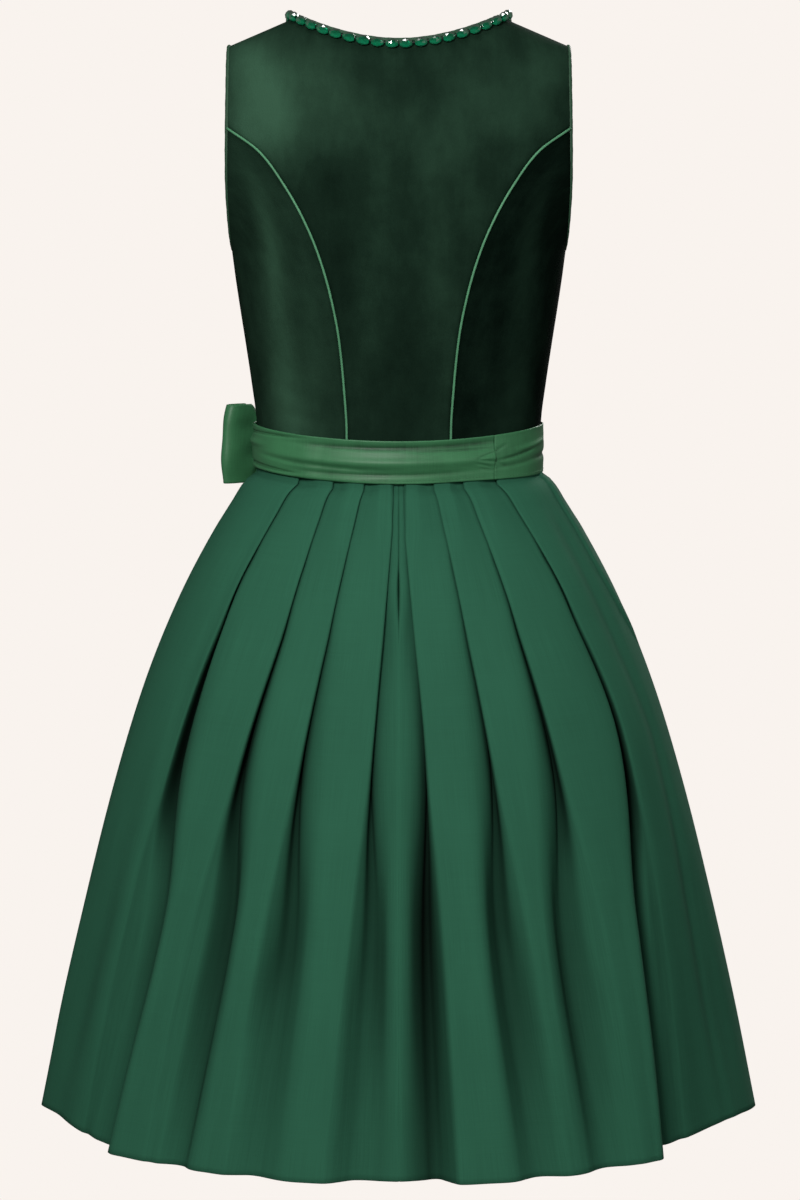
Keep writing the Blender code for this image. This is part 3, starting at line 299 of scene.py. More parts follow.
# ---------------- numbers from tables
def smooth(xs, ys, at):
    """Monotone cubic through the points (xs, ys), read at one or many places."""
    xs = np.asarray(xs, float)
    ys = np.asarray(ys, float)
    step = np.diff(xs)
    rise = np.diff(ys) / step
    slope = np.zeros(len(xs))
    slope[0] = rise[0]
    slope[-1] = rise[-1]
    for i in range(1, len(xs) - 1):
        if rise[i - 1] * rise[i] > 0:
            near = 2 * step[i] + step[i - 1]
            far = step[i] + 2 * step[i - 1]
            slope[i] = (near + far) / (near / rise[i - 1] + far / rise[i])
    at = np.clip(np.asarray(at, float), xs[0], xs[-1])
    k = np.clip(np.searchsorted(xs, at, side="right") - 1, 0, len(xs) - 2)
    u = (at - xs[k]) / step[k]
    start = (1 + 2 * u) * (1 - u) ** 2 * ys[k] + u * (1 - u) ** 2 * step[k] * slope[k]
    end = u * u * (3 - 2 * u) * ys[k + 1] + u * u * (u - 1) * step[k] * slope[k + 1]
    return start + end


def column(table, index, at):
    """Column of a table whose first column is the height."""
    rows = sorted(table)
    return smooth([r[0] for r in rows], [r[index] for r in rows], at)


def ramp(low, high, value):
    """0 below low, 1 above high, smooth between."""
    u = np.clip((np.asarray(value, float) - low) / (high - low), 0.0, 1.0)
    return u * u * (3 - 2 * u)


def mix(a, b, share):
    return a + (b - a) * share


def bump_of(distance, width):
    """A soft ridge of height 1, width wide on each side."""
    return np.exp(-(distance / width) ** 2)


# ---------------- form of the bodice
def armhole_share(z):
    """0 at the shoulder tip and at the underarm, 1 half way between."""
    return np.sqrt(np.maximum(0.0, 1 - ((z - ARMHOLE_MID_Z) / ARMHOLE_HALF_Z) ** 2))


def edge_half_width(z, front):
    """Distance of the side or armhole edge from the centre line."""
    z = np.asarray(z, float)
    strap = NECK_HALF + (SHOULDER_HALF - NECK_HALF) * np.minimum(1.0, -z / SHOULDER_DROP)
    side = column(TORSO, 1, z)
    if front:
        side = side - np.where(z > UNDERARM_Z, ARMHOLE_CUT_IN * armhole_share(z) ** 2, 0.0)
    return np.where(z > -SHOULDER_DROP, strap, side)


def section(z, front):
    """Half-width, depth and squareness of the body's section at each height."""
    z = np.asarray(z, float)
    depth = column(TORSO, 3 if front else 2, z)
    square = mix(WAIST_SQUARE, FRONT_SQUARE if front else BACK_SQUARE, ramp(-0.385, -0.300, z))
    width = edge_half_width(z, front)
    reach = (ARMHOLE_FRONT if front else ARMHOLE_BACK) * armhole_share(z)
    grown = (1 - np.minimum(0.98, reach / depth) ** square) ** (-1 / square)
    return np.where((z > UNDERARM_Z) & (z < -SHOULDER_DROP), width * grown, width), depth, square


def body_surface(x, z, front):
    """Points of the bodice's outer face over (x, z), and the directions out of it."""
    x = np.asarray(x, float)
    z = np.asarray(z, float)
    width, depth, square = section(z, front)
    share = np.minimum(1.0, np.abs(x) / width)
    y = depth * (1 - share ** square) ** (1 / square)

    def level(px, py, pz):
        w, d, n = section(pz, front)
        return (np.abs(px) / w) ** n + (np.abs(py) / d) ** n

    e = 0.0004
    out = np.stack((
        level(x + e, y, z) - level(x - e, y, z),
        level(x, y + e, z) - level(x, y - e, z),
        level(x, y, z + e) - level(x, y, z - e),
    ), axis=-1)
    out /= np.linalg.norm(out, axis=-1, keepdims=True)
    turn = np.array((1.0, -1.0 if front else 1.0, 1.0))
    return np.stack((x, y, z), axis=-1) * turn, out * turn


def angle_x(angle, z, front):
    """Distance from the centre line at an angle round the section (90 is the side)."""
    width, _, square = section(z, front)
    return width * np.sin(np.radians(angle)) ** (2 / square)


def x_angle(x, z, front):
    width, _, square = section(z, front)
    return np.degrees(np.arcsin(np.minimum(1.0, x / width) ** (square / 2)))


def waist_dip(x, front):
    share = np.maximum(0.0, 1 - (x / column(TORSO, 1, WAIST_Z)) ** 2)
    return (WAIST_DIP_FRONT if front else WAIST_DIP_BACK) * share


def neck_edge(x, front):
    """Height of the neck edge or the shoulder seam over x."""
    x = np.abs(np.asarray(x, float))
    inside = np.minimum(1.0, x / NECK_HALF)
    if front:
        neck = -NECK_DIP_FRONT * np.sqrt(1 - inside ** NECK_SQUARE)
    else:
        neck = -NECK_DIP_BACK * (1 - inside ** 1.9)
    seam = -SHOULDER_DROP * (x - NECK_HALF) / (SHOULDER_HALF - NECK_HALF)
    return np.where(x >= NECK_HALF, seam, neck)


SEAM_LEVELS = 8              # levels of the frame along a shaped seam and up the armhole
ARM_LEVELS = 5
NECK_TURNS = (0.0, 15.0, 32.0, 50.0, 66.0, 80.0, 90.0)


def seam_table(front):
    return FRONT_SEAM if front else BACK_SEAM


def side_height(level, front):
    """Height on the panel's outer edge at a level: up the seam, then up the armhole."""
    level = np.asarray(level, float)
    low = WAIST_Z + SEAM_GAP - waist_dip(seam_table(front)[0][1], front)
    junction = seam_table(front)[-1][0]
    arm = np.sin(math.pi / 2 * np.clip((level - SEAM_LEVELS) / ARM_LEVELS, 0.0, 1.0))
    on_seam = mix(low, junction, np.minimum(1.0, level / SEAM_LEVELS))
    return np.where(level <= SEAM_LEVELS, on_seam, mix(junction, -SHOULDER_DROP, arm))


def side_distance(level, front):
    """Distance from the centre line of the centre panel's outer edge."""
    z = side_height(level, front)
    edge = edge_half_width(z, front)
    seam = np.minimum(column(seam_table(front), 1, z), edge) - SEAM_GAP / 2
    return np.where(level <= SEAM_LEVELS, seam, edge)


def levels_of(count):
    return np.linspace(0, SEAM_LEVELS + ARM_LEVELS, count)


def back_centre_net(rows, neck_columns, shoulder_columns):
    """(x, z) of the half panel between the centre back and the shaped seam."""
    level = levels_of(rows)
    top = np.concatenate((
        np.linspace(0, NECK_HALF, neck_columns),
        np.linspace(NECK_HALF, SHOULDER_HALF, shoulder_columns)[1:],
    ))
    s = top / SHOULDER_HALF
    z_side = side_height(level, False)
    share = (z_side - z_side[0]) / (z_side[-1] - z_side[0])
    bottom = WAIST_Z + SEAM_GAP - waist_dip(s * BACK_SEAM[0][1], False)
    x = side_distance(level, False)[:, None] * s[None, :]
    z = mix(bottom[None, :], neck_edge(top, False)[None, :], share[:, None])
    return x, z


def front_centre_net(rows, columns):
    """(x, z) of the half panel between the centre front and the shaped seam."""
    level = levels_of(rows)
    body = SEAM_LEVELS + ARM_LEVELS - len(NECK_TURNS) + 1
    turn = smooth(range(len(NECK_TURNS)), NECK_TURNS, np.maximum(0.0, level - body))
    near_x = NECK_HALF * np.sin(np.radians(turn)) ** (2 / NECK_SQUARE)
    bottom = WAIST_Z + SEAM_GAP - waist_dip(0.0, True)
    near_z = np.where(level <= body, mix(bottom, -NECK_DIP_FRONT, level / body), neck_edge(near_x, True))
    across = np.linspace(0, 1, columns)[None, :]
    x = mix(near_x[:, None], side_distance(level, True)[:, None], across)
    z = mix(near_z[:, None], side_height(level, True)[:, None], across)
    z[0] = WAIST_Z + SEAM_GAP - waist_dip(x[0], True)
    return x, z


def side_net(front, rows, columns):
    """(x, z) of the panel between the shaped seam and the side seam."""
    reach = ARMHOLE_FRONT if front else ARMHOLE_BACK
    level = np.linspace(0, SEAM_LEVELS, rows)
    z_seam = side_height(level, front)
    share = (level / SEAM_LEVELS)[:, None]
    junction = seam_table(front)[-1][0]
    turn_start = math.asin((ARMHOLE_MID_Z - junction) / ARMHOLE_HALF_Z)
    start_low = x_angle(seam_table(front)[0][1], z_seam[0], front)
    x_seam = np.minimum(column(seam_table(front), 1, z_seam), edge_half_width(z_seam, front))
    start = x_angle(x_seam + SEAM_GAP / 2, z_seam, front)[:, None]
    across = np.linspace(0, 1, columns)[None, :]
    z_arm = ARMHOLE_MID_Z - ARMHOLE_HALF_Z * np.sin(mix(turn_start, math.pi / 2, across))
    _, depth, square = section(z_arm, front)
    arm_angle = np.degrees(np.arccos(np.minimum(1.0, reach * armhole_share(z_arm) / depth) ** (square / 2)))
    _, depth, square = section(junction, front)
    junction_angle = np.degrees(np.arccos((reach * armhole_share(junction) / depth) ** (square / 2)))
    bow = arm_angle - mix(junction_angle, 90.0, across)
    angle = mix(start, 90.0, across) + bow * share ** 2
    x_low = angle_x(mix(start_low, 90.0, across), WAIST_Z, front)
    z = mix(WAIST_Z + SEAM_GAP - waist_dip(x_low, front), z_arm, share)
    z[:, 0] = z_seam
    return angle_x(np.minimum(angle, 90.0), z, front), z


# ---------------- form of the skirt
class Ring:
    """The skirt's level section at one share of its length, read by distance from the centre."""

    def __init__(self, share, front):
        drop = share * SKIRT_LENGTH
        top = SKIRT[0][1]
        self.a = float(smooth([r[0] for r in SKIRT], [r[1] for r in SKIRT], drop))
        grown = (self.a - top) / (SKIRT[-1][1] - top)
        depth_top = TORSO[-1][3 if front else 2]
        self.b = mix(depth_top, HEM_DEPTH_FRONT if front else HEM_DEPTH_BACK, grown)
        self.n = mix(2.0, HEM_SQUARE, share)
        turn = np.linspace(0, math.pi / 2, 361)
        self.angles = np.degrees(turn)
        self.x = self.a * np.sin(turn) ** (2 / self.n)
        self.y = self.b * np.abs(np.cos(turn)) ** (2 / self.n)
        self.run = np.concatenate(((0,), np.cumsum(np.hypot(np.diff(self.x), np.diff(self.y)))))

    def at_angle(self, angle):
        return np.interp(angle, self.angles, self.run)

    def point(self, s, height):
        """Points at distances s from the centre, moved out by height."""
        s = np.asarray(s, float)
        x = np.interp(s, self.run, self.x)
        y = np.interp(s, self.run, self.y)
        nx = (x / self.a) ** (self.n - 1) / self.a
        ny = (y / self.b) ** (self.n - 1) / self.b
        size = np.hypot(nx, ny)
        nx, ny = nx / size, ny / size
        past = s - np.clip(s, 0.0, self.run[-1])
        return x + nx * height + ny * past, y + ny * height - nx * past


def hem_lift(which, share, angle):
    """How far the hem is drawn up between the outer fold and the side seam."""
    return HEM_LIFT[which] * share ** 3 * np.sin(math.pi * np.clip((angle - 52.0) / 38.0, 0.0, 1.0))


def fold_depth(pleat, share):
    """Depth of a fold's valley below the skirt's plain form."""
    thigh, knee, hem = pleat[8:11]
    return float(smooth(STATIONS, (0.0, thigh * 0.8, thigh, knee, hem), share))


def centre_height(share, crown):
    """Height of the panel between the two centre folds, which bulges a little between its sunk edges."""
    deep = (fold_depth(PLEATS["back_left"][0], share) + fold_depth(PLEATS["back_right"][0], share)) / 2
    return mix(-0.9 * deep, crown, 0.72 * float(ramp(0.15, 0.42, share) * (1 - 0.7 * ramp(0.65, 1.0, share))))


def pleat_points(pleat, ring, share, crown, boxed):
    """The fold's line in (distance, height): near rim, valley and pressed edge."""
    waist, hip, thigh, knee, hem, rim_thigh, rim_knee, rim_hem = pleat[:8]
    recess, turn = pleat[-2:]
    edge = ring.at_angle(float(smooth(STATIONS, (waist, hip, thigh, knee, hem), share)))
    gap_angle = float(smooth(STATIONS, (0.5, 1.2, rim_thigh, rim_knee, rim_hem), share))
    rim = edge - gap_angle * ring.run[-1] / 90.0
    deep = fold_depth(pleat, share)
    low = -deep
    edge_height = crown - recess * ramp(0.35, 1.0, share)
    rim_height = centre_height(share, crown) if boxed else crown
    late = ramp(0.42, 0.74, share)
    g = PLEAT_PITCH
    over = edge + PLEAT_OVERLAP
    # pressed flat: under layer, turn, middle layer, edge, outer layer
    flat = (
        (edge - 0.006, 0.0), (edge + 0.003, 0.0), (over, 0.0), (over + g / 2, g / 2), (over, g),
        (edge + g / 2, g), (edge, 1.5 * g), (edge + g / 2, 2 * g), (over + 0.003, 2 * g),
    )
    # lifting: the under layer has sunk and slid back, the edge still stands proud
    lifted = (
        (edge - 0.0080, 0.0), (edge - 0.0030, -0.0004), (edge + 0.0064, -0.0052),
        (edge + 0.0077, -0.0058), (edge + 0.0080, -0.0044), (edge + 0.0014, 0.0012),
        (edge, 0.0018), (edge + 0.0009, 0.0027), (edge + 0.0070, 0.0030),
    )
    # fallen open: the rims stand apart and the valley lies under one of them
    r_edge = mix(0.0022, 0.0110, late)
    lean = abs(turn)
    r_rim = mix(0.0100, mix(0.0090, 0.0024, max(0.0, turn)), late)
    under = rim - 0.0015 if turn > 0 else edge + 0.0005
    valley = mix(edge + 0.0025, mix((edge + rim) / 2, under, lean), late)
    half = 0.0016 + 0.0030 * late * (1 - lean)
    shoulder = np.minimum(mix(0.0040, 0.0050, late), 0.4 * max(deep, 0.002))
    opened = (
        (rim - r_rim, rim_height), (rim, rim_height - 0.25 * r_rim),
        (valley - half, mix(low, rim_height, 0.22)), (valley, low),
        (valley + half, mix(low, edge_height, 0.20)),
        (mix(valley, edge, 1.05 - 0.6 * late), edge_height - shoulder),
        (edge, edge_height - 0.55 * r_edge), (edge + 0.45 * r_edge, edge_height - 0.15 * r_edge),
        (edge + 1.5 * r_edge, edge_height),
    )
    # softened: one rounded wave between two broad crests
    near, far = max(0.003, rim - 0.018), edge + 0.017
    bottom = mix(0.50, 0.34 if turn > 0 else 0.68, lean)
    waved = []
    for u in SOFT_STEPS:
        down = u / bottom if u < bottom else (1 - u) / (1 - bottom)
        crest = rim_height if u < bottom else edge_height
        waved.append((mix(near, far, u), mix(crest, low, 0.5 - 0.5 * math.cos(math.pi * down))))
    lift = ramp(PRESSED_TO, LIFTED_AT, share)
    fall = ramp(LIFTED_AT, OPEN_FROM, share)
    soften = float(ramp(SOFT_FROM, SOFT_AT, share)) * (1 - 0.45 * lean * lean)
    points = []
    for f, u, o, w in zip(flat, lifted, opened, waved):
        point = [mix(mix(mix(f[k], u[k], lift), o[k], fall), w[k], soften) for k in (0, 1)]
        points.append(tuple(point))
    if boxed:
        points = [(max(x, CENTRE_CLEAR + CENTRE_CLEAR * k), h) for k, (x, h) in enumerate(points)]
    return points


def skirt_half(share, front, which):
    """The half section's line from the centre to the side seam, in (distance, height)."""
    ring = Ring(share, front)
    crown = (CROWN_FRONT if front else CROWN_BACK) * ramp(0.15, 1.0, share)
    line = []
    for i, pleat in enumerate(PLEATS[which]):
        boxed = i == 0 and not front
        points = pleat_points(pleat, ring, share, crown, boxed)
        if not line:
            start = centre_height(share, crown) if boxed else crown
            line.append((0.0, start))
            if not boxed:
                line.append((points[0][0] * 0.5, start))
        else:
            last, first = line[-1], points[0]
            line.append((mix(last[0], first[0], 0.5), mix(last[1], first[1], 0.5)))
        line += points
    last = line[-1]
    end = ring.run[-1] - SEAM_GAP / 2
    for k in (0.25, 0.60, 1.0):
        line.append((mix(last[0], end, k), last[1] * (1 - ramp(0.0, 1.0, k))))
    return ring, line


# ---------------- form of the waist
def around(angle):
    """Whether an angle from centre back lies in the front half, its angle from that centre, and its side."""
    angle = (angle + 180) % 360 - 180
    side = -1 if angle < 0 else 1
    front = abs(angle) > 90
    return front, (180 - abs(angle) if front else abs(angle)), side


@functools.cache
def ring_at(share, front):
    """The ring of a share, worked out once."""
    return Ring(share, front)


def over_ring(angle, share, height, z):
    """Point at an angle from centre back, a height out from the skirt's plain form."""
    front, turn, side = around(angle)
    ring = ring_at(share, front)
    x, y = ring.point(ring.at_angle(turn), height)
    return np.array((side * x, -y if front else y, z))


def stack(angle):
    """Thickness of the pressed pleats at the waist."""
    _, turn, _ = around(angle)
    return SKIRT_WALL / 2 + 2 * PLEAT_PITCH * (1 - ramp(46.0, 86.0, turn))


def apron_share(angle):
    """1 where the apron lies under the band, 0 behind its side edges."""
    front, turn, _ = around(angle)
    edge = 180 - APRON_EDGE_TOP
    return 1 - ramp(edge, edge + 8.0, turn) if front else 0.0


def band_height(angle, layer):
    """Inner face of a layer of the satin band, out from the skirt's plain form."""
    base = stack(angle) + BAND_CLEAR
    waistband = base + (APRON_WALL + LAYER_GAP) * apron_share(angle)
    if layer == "waistband":
        return waistband
    over = waistband + SATIN_WALL + LAYER_GAP
    return mix(base, over, ramp(UNDERLAP_ANGLE - 14.0, UNDERLAP_ANGLE - 4.0, angle))


def waist_level(angle):
    front, turn, _ = around(angle)
    dip = WAIST_DIP_FRONT if front else WAIST_DIP_BACK
    return dip * math.cos(math.radians(turn)) ** 2


def band_edges(angle):
    """Heights of the band's upper and lower edges at an angle."""
    turned = (180 - angle) % 360 - 180
    right = ramp(20.0, 80.0, turned) * (1 - ramp(100.0, 160.0, turned))
    top = BAND_TOP_Z - waist_level(angle)
    return top, top - BAND_HEIGHT - BAND_EXTRA_RIGHT * right


def apron_height(angle, share):
    """Inner face of the apron, out from the skirt's plain form: clear of the folds below it."""
    low = SKIRT_WALL / 2 + 2 * PLEAT_PITCH + APRON_CLEAR + 0.0065 * ramp(0.03, 0.9, share)
    return mix(stack(angle) + APRON_CLEAR, low, ramp(0.035, 0.12, share))


def apron_crest(angle, share):
    """Outermost reach of the apron's gathers."""
    return apron_height(angle, share) + APRON_SWING * ramp(0.02, 0.8, share) + APRON_WALL


def knot_frame():
    """Centre of the knot, direction along the band toward the side, and direction out."""
    z = BAND_TOP_Z - BAND_HEIGHT / 2 - KNOT_DROP
    height = band_height(KNOT_ANGLE, "tie") + SATIN_WALL + BAND_BULGE + BOW_CLEAR + KNOT_SIZE[1] / 2
    here = over_ring(KNOT_ANGLE, WAIST_SHARE, height, z)
    beyond = over_ring(KNOT_ANGLE, WAIST_SHARE, height + KNOT_SIZE[1], z)
    out = (beyond - here) / np.linalg.norm(beyond - here)
    along = np.cross(out, (0, 0, 1))
    if along[1] < 0:
        along = -along
    return here, along, out


# ---------------- creases
def creased(u, v, table):
    """Height of the soft ridges (+) and troughs (-) of a table at places (u, v)."""
    total = np.zeros(np.broadcast(u, v).shape)
    for at_u, at_v, turn, length, width, height in table:
        c, s = math.cos(math.radians(turn)), math.sin(math.radians(turn))
        along = (u - at_u) * c + (v - at_v) * s
        across = (v - at_v) * c - (u - at_u) * s
        total += height * np.exp(-(across / width) ** 2) * np.exp(-(2 * along / length) ** 4)
    return total


# places in metres from the centre line and up from the waist, then turn, length, width and height
BACK_CREASES = (
    (0.030, 0.050, 8.0, 0.050, 0.0040, -0.0007),
    (-0.026, 0.036, -6.0, 0.060, 0.0050, -0.0008),
    (0.006, 0.078, 4.0, 0.070, 0.0070, -0.0005),
    (-0.060, 0.150, 74.0, 0.090, 0.0080, -0.0006),
    (0.052, 0.190, 98.0, 0.110, 0.0090, -0.0006),
    (0.108, 0.300, 24.0, 0.060, 0.0060, -0.0007),
    (-0.112, 0.290, -30.0, 0.070, 0.0070, -0.0007),
    (0.000, 0.340, 2.0, 0.100, 0.0080, 0.0006),
    (0.070, 0.352, 28.0, 0.060, 0.0060, -0.0005),
    (-0.074, 0.350, -24.0, 0.055, 0.0060, -0.0005),
)
SIDE_CREASES = (
    (0.090, 0.040, 12.0, 0.060, 0.0045, -0.0008),
    (0.110, 0.066, 18.0, 0.050, 0.0050, -0.0006),
    (0.120, 0.140, 64.0, 0.080, 0.0080, -0.0006),
    (0.145, 0.185, -24.0, 0.045, 0.0060, -0.0008),
)
FRONT_CREASES = (
    (0.050, 0.060, -8.0, 0.060, 0.0050, -0.0007),
    (0.040, 0.094, 6.0, 0.050, 0.0045, -0.0005),
    (0.060, 0.160, 66.0, 0.080, 0.0090, -0.0006),
    (0.092, 0.215, 38.0, 0.070, 0.0070, -0.0007),
    (0.118, 0.310, 78.0, 0.090, 0.0070, -0.0006),
    (0.030, 0.205, 84.0, 0.060, 0.0070, -0.0005),
)
# patches of painted sheen (+) and painted shade (-) on the pile, partly its brushed lie, on the same plan
BACK_SHEEN_SHADE = (
    (0.125, 0.345, 64.0, 0.120, 0.0320, 0.62),
    (-0.128, 0.350, -60.0, 0.110, 0.0260, 0.20),
    (0.150, 0.270, 92.0, 0.150, 0.0260, 0.36),
    (0.060, 0.340, 60.0, 0.120, 0.0300, 0.22),
    (-0.060, 0.330, -50.0, 0.120, 0.0360, 0.16),
    (0.018, 0.180, 92.0, 0.200, 0.0120, 0.10),
    (-0.036, 0.205, 86.0, 0.180, 0.0160, 0.13),
    (-0.074, 0.220, 80.0, 0.200, 0.0120, 0.09),
    (0.060, 0.210, 97.0, 0.180, 0.0220, -0.13),
    (0.000, 0.080, 90.0, 0.160, 0.0300, -0.10),
    (-0.045, 0.100, 94.0, 0.140, 0.0140, 0.06),
    (0.035, 0.120, 88.0, 0.150, 0.0100, 0.05),
)
SIDE_SHEEN_SHADE = (
    (0.128, 0.120, 78.0, 0.260, 0.0220, 0.34),
    (0.110, 0.040, 82.0, 0.120, 0.0260, 0.22),
    (0.084, 0.110, 84.0, 0.200, 0.0160, 0.10),
    (0.150, 0.230, 80.0, 0.120, 0.0160, 0.12),
)
FRONT_SHEEN_SHADE = (
    (0.110, 0.330, 84.0, 0.160, 0.0240, 0.42),
    (0.080, 0.190, 50.0, 0.130, 0.0300, 0.26),
    (0.040, 0.110, 88.0, 0.180, 0.0160, 0.16),
    (0.016, 0.160, 90.0, 0.160, 0.0120, -0.10),
    (0.070, 0.060, 84.0, 0.120, 0.0160, 0.12),
)


# ---------------- meshes
def run_along(net, axis):
    """Distance along each row (axis 1) or column (axis 0) of a net of points."""
    steps = np.linalg.norm(np.diff(net, axis=axis), axis=2)
    start = np.zeros_like(np.take(steps, [0], axis=axis))
    return np.concatenate((start, np.cumsum(steps, axis=axis)), axis=axis)


def run_of(line):
    """Distance along a line of points."""
    return np.concatenate(((0,), np.cumsum(np.linalg.norm(np.diff(line, axis=0), axis=1))))


def capped(ring, tip):
    """Triangles that close a ring of points with a tip."""
    return [(tip, int(a), int(b)) for a, b in zip(ring, np.roll(ring, -1))]


def cloth_plan(net):
    """Place of each point on the flat cloth, in metres from the net's middle column and first row."""
    u = run_along(net, 1)
    u = u - u[:, net.shape[1] // 2][:, None]
    v = run_along(net, 0).mean(axis=1)
    return np.stack((u, np.broadcast_to(v[:, None], u.shape)), axis=-1)


def new_mesh(name, points, faces, plan=None, marks=None):
    """Object at the origin from points and faces, with its cut as UV map and its marks as an attribute: lie
    of pile with painted sheen and shade, or painted shade in folds.
    """
    mesh = bpy.data.meshes.new(name)
    mesh.from_pydata(points.tolist(), [], faces)
    if plan is not None:
        corners = np.zeros(len(mesh.loops), int)
        mesh.loops.foreach_get("vertex_index", corners)
        mesh.uv_layers.new(name="cut").data.foreach_set("uv", plan[corners].ravel())
    if marks is not None:
        nap_and_shade = mesh.attributes.new("nap_and_shade", "FLOAT", "POINT")
        nap_and_shade.data.foreach_set("value", marks)
    mesh.shade_smooth()
    mesh.update()
    item = bpy.data.objects.new(name, mesh)
    bpy.context.scene.collection.objects.link(item)
    return item


def cloth(name, outer, inner, plan=None, marks=None):
    """Closed wall between two nets of points, rows by columns, with a rounded rim."""
    rows, columns = outer.shape[:2]
    if plan is None:
        plan = cloth_plan(outer)
    grid = np.arange(rows * columns).reshape(rows, columns)
    count = rows * columns
    quads = np.stack((grid[:-1, :-1], grid[:-1, 1:], grid[1:, 1:], grid[1:, :-1]), axis=-1).reshape(-1, 4)
    rim = np.concatenate((grid[0, :-1], grid[:-1, -1], grid[-1, :0:-1], grid[:0:-1, 0]))
    inside = np.concatenate((grid[1, :-1], grid[:-1, -2], grid[-2, :0:-1], grid[:0:-1, 1]))
    flat_out = outer.reshape(-1, 3)
    flat_in = inner.reshape(-1, 3)
    wall = np.linalg.norm(flat_out[rim] - flat_in[rim], axis=1, keepdims=True)
    away = (flat_out[rim] + flat_in[rim]) - (flat_out[inside] + flat_in[inside])
    away /= np.maximum(1e-9, np.linalg.norm(away, axis=1, keepdims=True))
    middle = (flat_out[rim] + flat_in[rim]) / 2 + away * wall * 0.32
    points = np.vstack((flat_out, flat_in, middle))
    ahead = np.roll(rim, -1)
    mid = 2 * count + np.arange(len(rim))
    mid_ahead = np.roll(mid, -1)
    faces = np.vstack((
        quads,
        quads[:, ::-1] + count,
        np.stack((ahead, rim, mid, mid_ahead), axis=-1),
        np.stack((mid_ahead, mid, rim + count, ahead + count), axis=-1),
    ))
    a, b, c = (points[quads[:, k]] for k in (0, 1, 2))
    through = flat_out[quads[:, 0]] - flat_in[quads[:, 0]]
    if np.sum(np.cross(b - a, c - a) * through) < 0:
        faces = faces[:, ::-1]
    flat_plan = plan.reshape(-1, 2)
    uv = np.vstack((flat_plan, flat_plan, flat_plan[rim]))
    if marks is not None:
        marks = marks.reshape(-1)
        marks = np.concatenate((marks, marks, marks[rim]))
    return new_mesh(name, points, faces.tolist(), uv, marks)


def frames_along(path, normals=None, closed=False):
    """Directions along a path and two directions across it, the first nearest to the normals."""
    if closed:
        along = np.roll(path, -1, axis=0) - np.roll(path, 1, axis=0)
    else:
        along = np.gradient(path, axis=0)
    along /= np.linalg.norm(along, axis=1, keepdims=True)
    if normals is None:
        normals = np.broadcast_to(np.array((0.13, 0.31, 0.94)), path.shape)
    first = normals - along * np.sum(normals * along, axis=1, keepdims=True)
    first /= np.linalg.norm(first, axis=1, keepdims=True)
    return along, first, np.cross(along, first)


def cord(name, path, wide, deep, normals=None, closed=False, sides=10):
    """Round or oval cord along a path: half its width across the normals, half its depth along them."""
    _, up, side = frames_along(path, normals, closed)
    wide = np.broadcast_to(np.asarray(wide, float), (len(path),))
    deep = np.broadcast_to(np.asarray(deep, float), (len(path),))
    turn = 2 * math.pi * np.arange(sides) / sides
    rings = (path[:, None] + side[:, None] * (wide[:, None] * np.cos(turn))[..., None]
             + up[:, None] * (deep[:, None] * np.sin(turn))[..., None])
    points = rings.reshape(-1, 3)
    count = len(path)
    grid = np.arange(count * sides).reshape(count, sides)
    if closed:
        grid = np.vstack((grid, grid[:1]))
    after = np.roll(grid, -1, axis=1)
    faces = np.stack((grid[:-1], after[:-1], after[1:], grid[1:]), axis=-1).reshape(-1, 4).tolist()
    along_it = np.broadcast_to(run_of(path)[:, None], (count, sides))
    round_it = np.broadcast_to((turn * wide.mean())[None, :], (count, sides))
    plan = np.stack((along_it, round_it), axis=-1).reshape(-1, 2)
    if not closed:
        tips = (path[0] - (path[1] - path[0]) * CORD_TIP, path[-1] + (path[-1] - path[-2]) * CORD_TIP)
        faces += capped(grid[0, ::-1], len(points))
        faces += capped(grid[-1], len(points) + 1)
        points = np.vstack((points, tips))
        plan = np.vstack((plan, plan[:1], plan[-1:]))
    return new_mesh(name, points, faces, plan)


def read_line(line, run, at):
    """Points of a line, or of directions along it, at one or many distances of its run."""
    return np.stack([np.interp(at, run, line[:, k]) for k in range(3)], axis=-1)


def evenly(path, step):
    """The path again with points an even step apart."""
    run = run_of(path)
    count = max(2, int(round(run[-1] / step)))
    return read_line(path, run, np.linspace(0, run[-1], count + 1))


def dress_in(item, material, slot, *nodes):
    """Gives a piece its cloth and puts it in the place of the frame's own nodes."""
    item.data.materials.append(material)
    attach(item, "root")
    if nodes:
        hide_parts(*nodes)
    return item


# ---------------- velvet bodice
def velvet_panel(name, x, z, front, creases, nap_and_shade, lie_and_light, seams):
    """Panel over (x, z): its surface rolls into its seams, with creases and the lie of its pile.

    Panel over (x, z): its surface rolls into its seams, with creases and the lie of its pile, which carries
    painted sheen and painted shade.
    """
    points, out = body_surface(x, z, front)
    run = run_along(points, 1)
    u = x if seams == "both" else x[:, :1] + run
    v = z - WAIST_Z
    rise = creased(u, v, creases) * settings().crease_depth
    on_seam = 1.0 if seams == "inner" else (levels_of(len(x)) <= SEAM_LEVELS + 0.01)[:, None] * 1.0
    groove = bump_of(run[:, -1:] - run, SEAM_ROLL) * on_seam
    if seams != "outer":
        groove = groove + bump_of(run, SEAM_ROLL) * on_seam
    if seams != "inner":
        top = neck_edge(x, front)
        groove = groove + SHOULDER_ROLL * bump_of(top - z, SEAM_ROLL) * (np.abs(x) > NECK_HALF)
    rise = rise - SEAM_DEPTH * groove
    outer = points + out * rise[..., None]
    inner = outer - out * VELVET_WALL
    # painted sheen and painted shade of the pile, with painted shade in the seam rolls
    marks = lie_and_light + creased(u, v, nap_and_shade) - SEAM_ROLL_SHADE * groove
    plan = cloth_plan(points)
    plan[..., 1] = v
    return cloth(name, outer, inner, plan, marks)


def flipped(item):
    """Mirrors a new piece across the centre plane, with its faces still outwards."""
    mesh = item.data
    places = np.zeros(len(mesh.vertices) * 3)
    mesh.vertices.foreach_get("co", places)
    places[0::3] *= -1
    mesh.vertices.foreach_set("co", places)
    mesh.flip_normals()
    mesh.update()
    return item


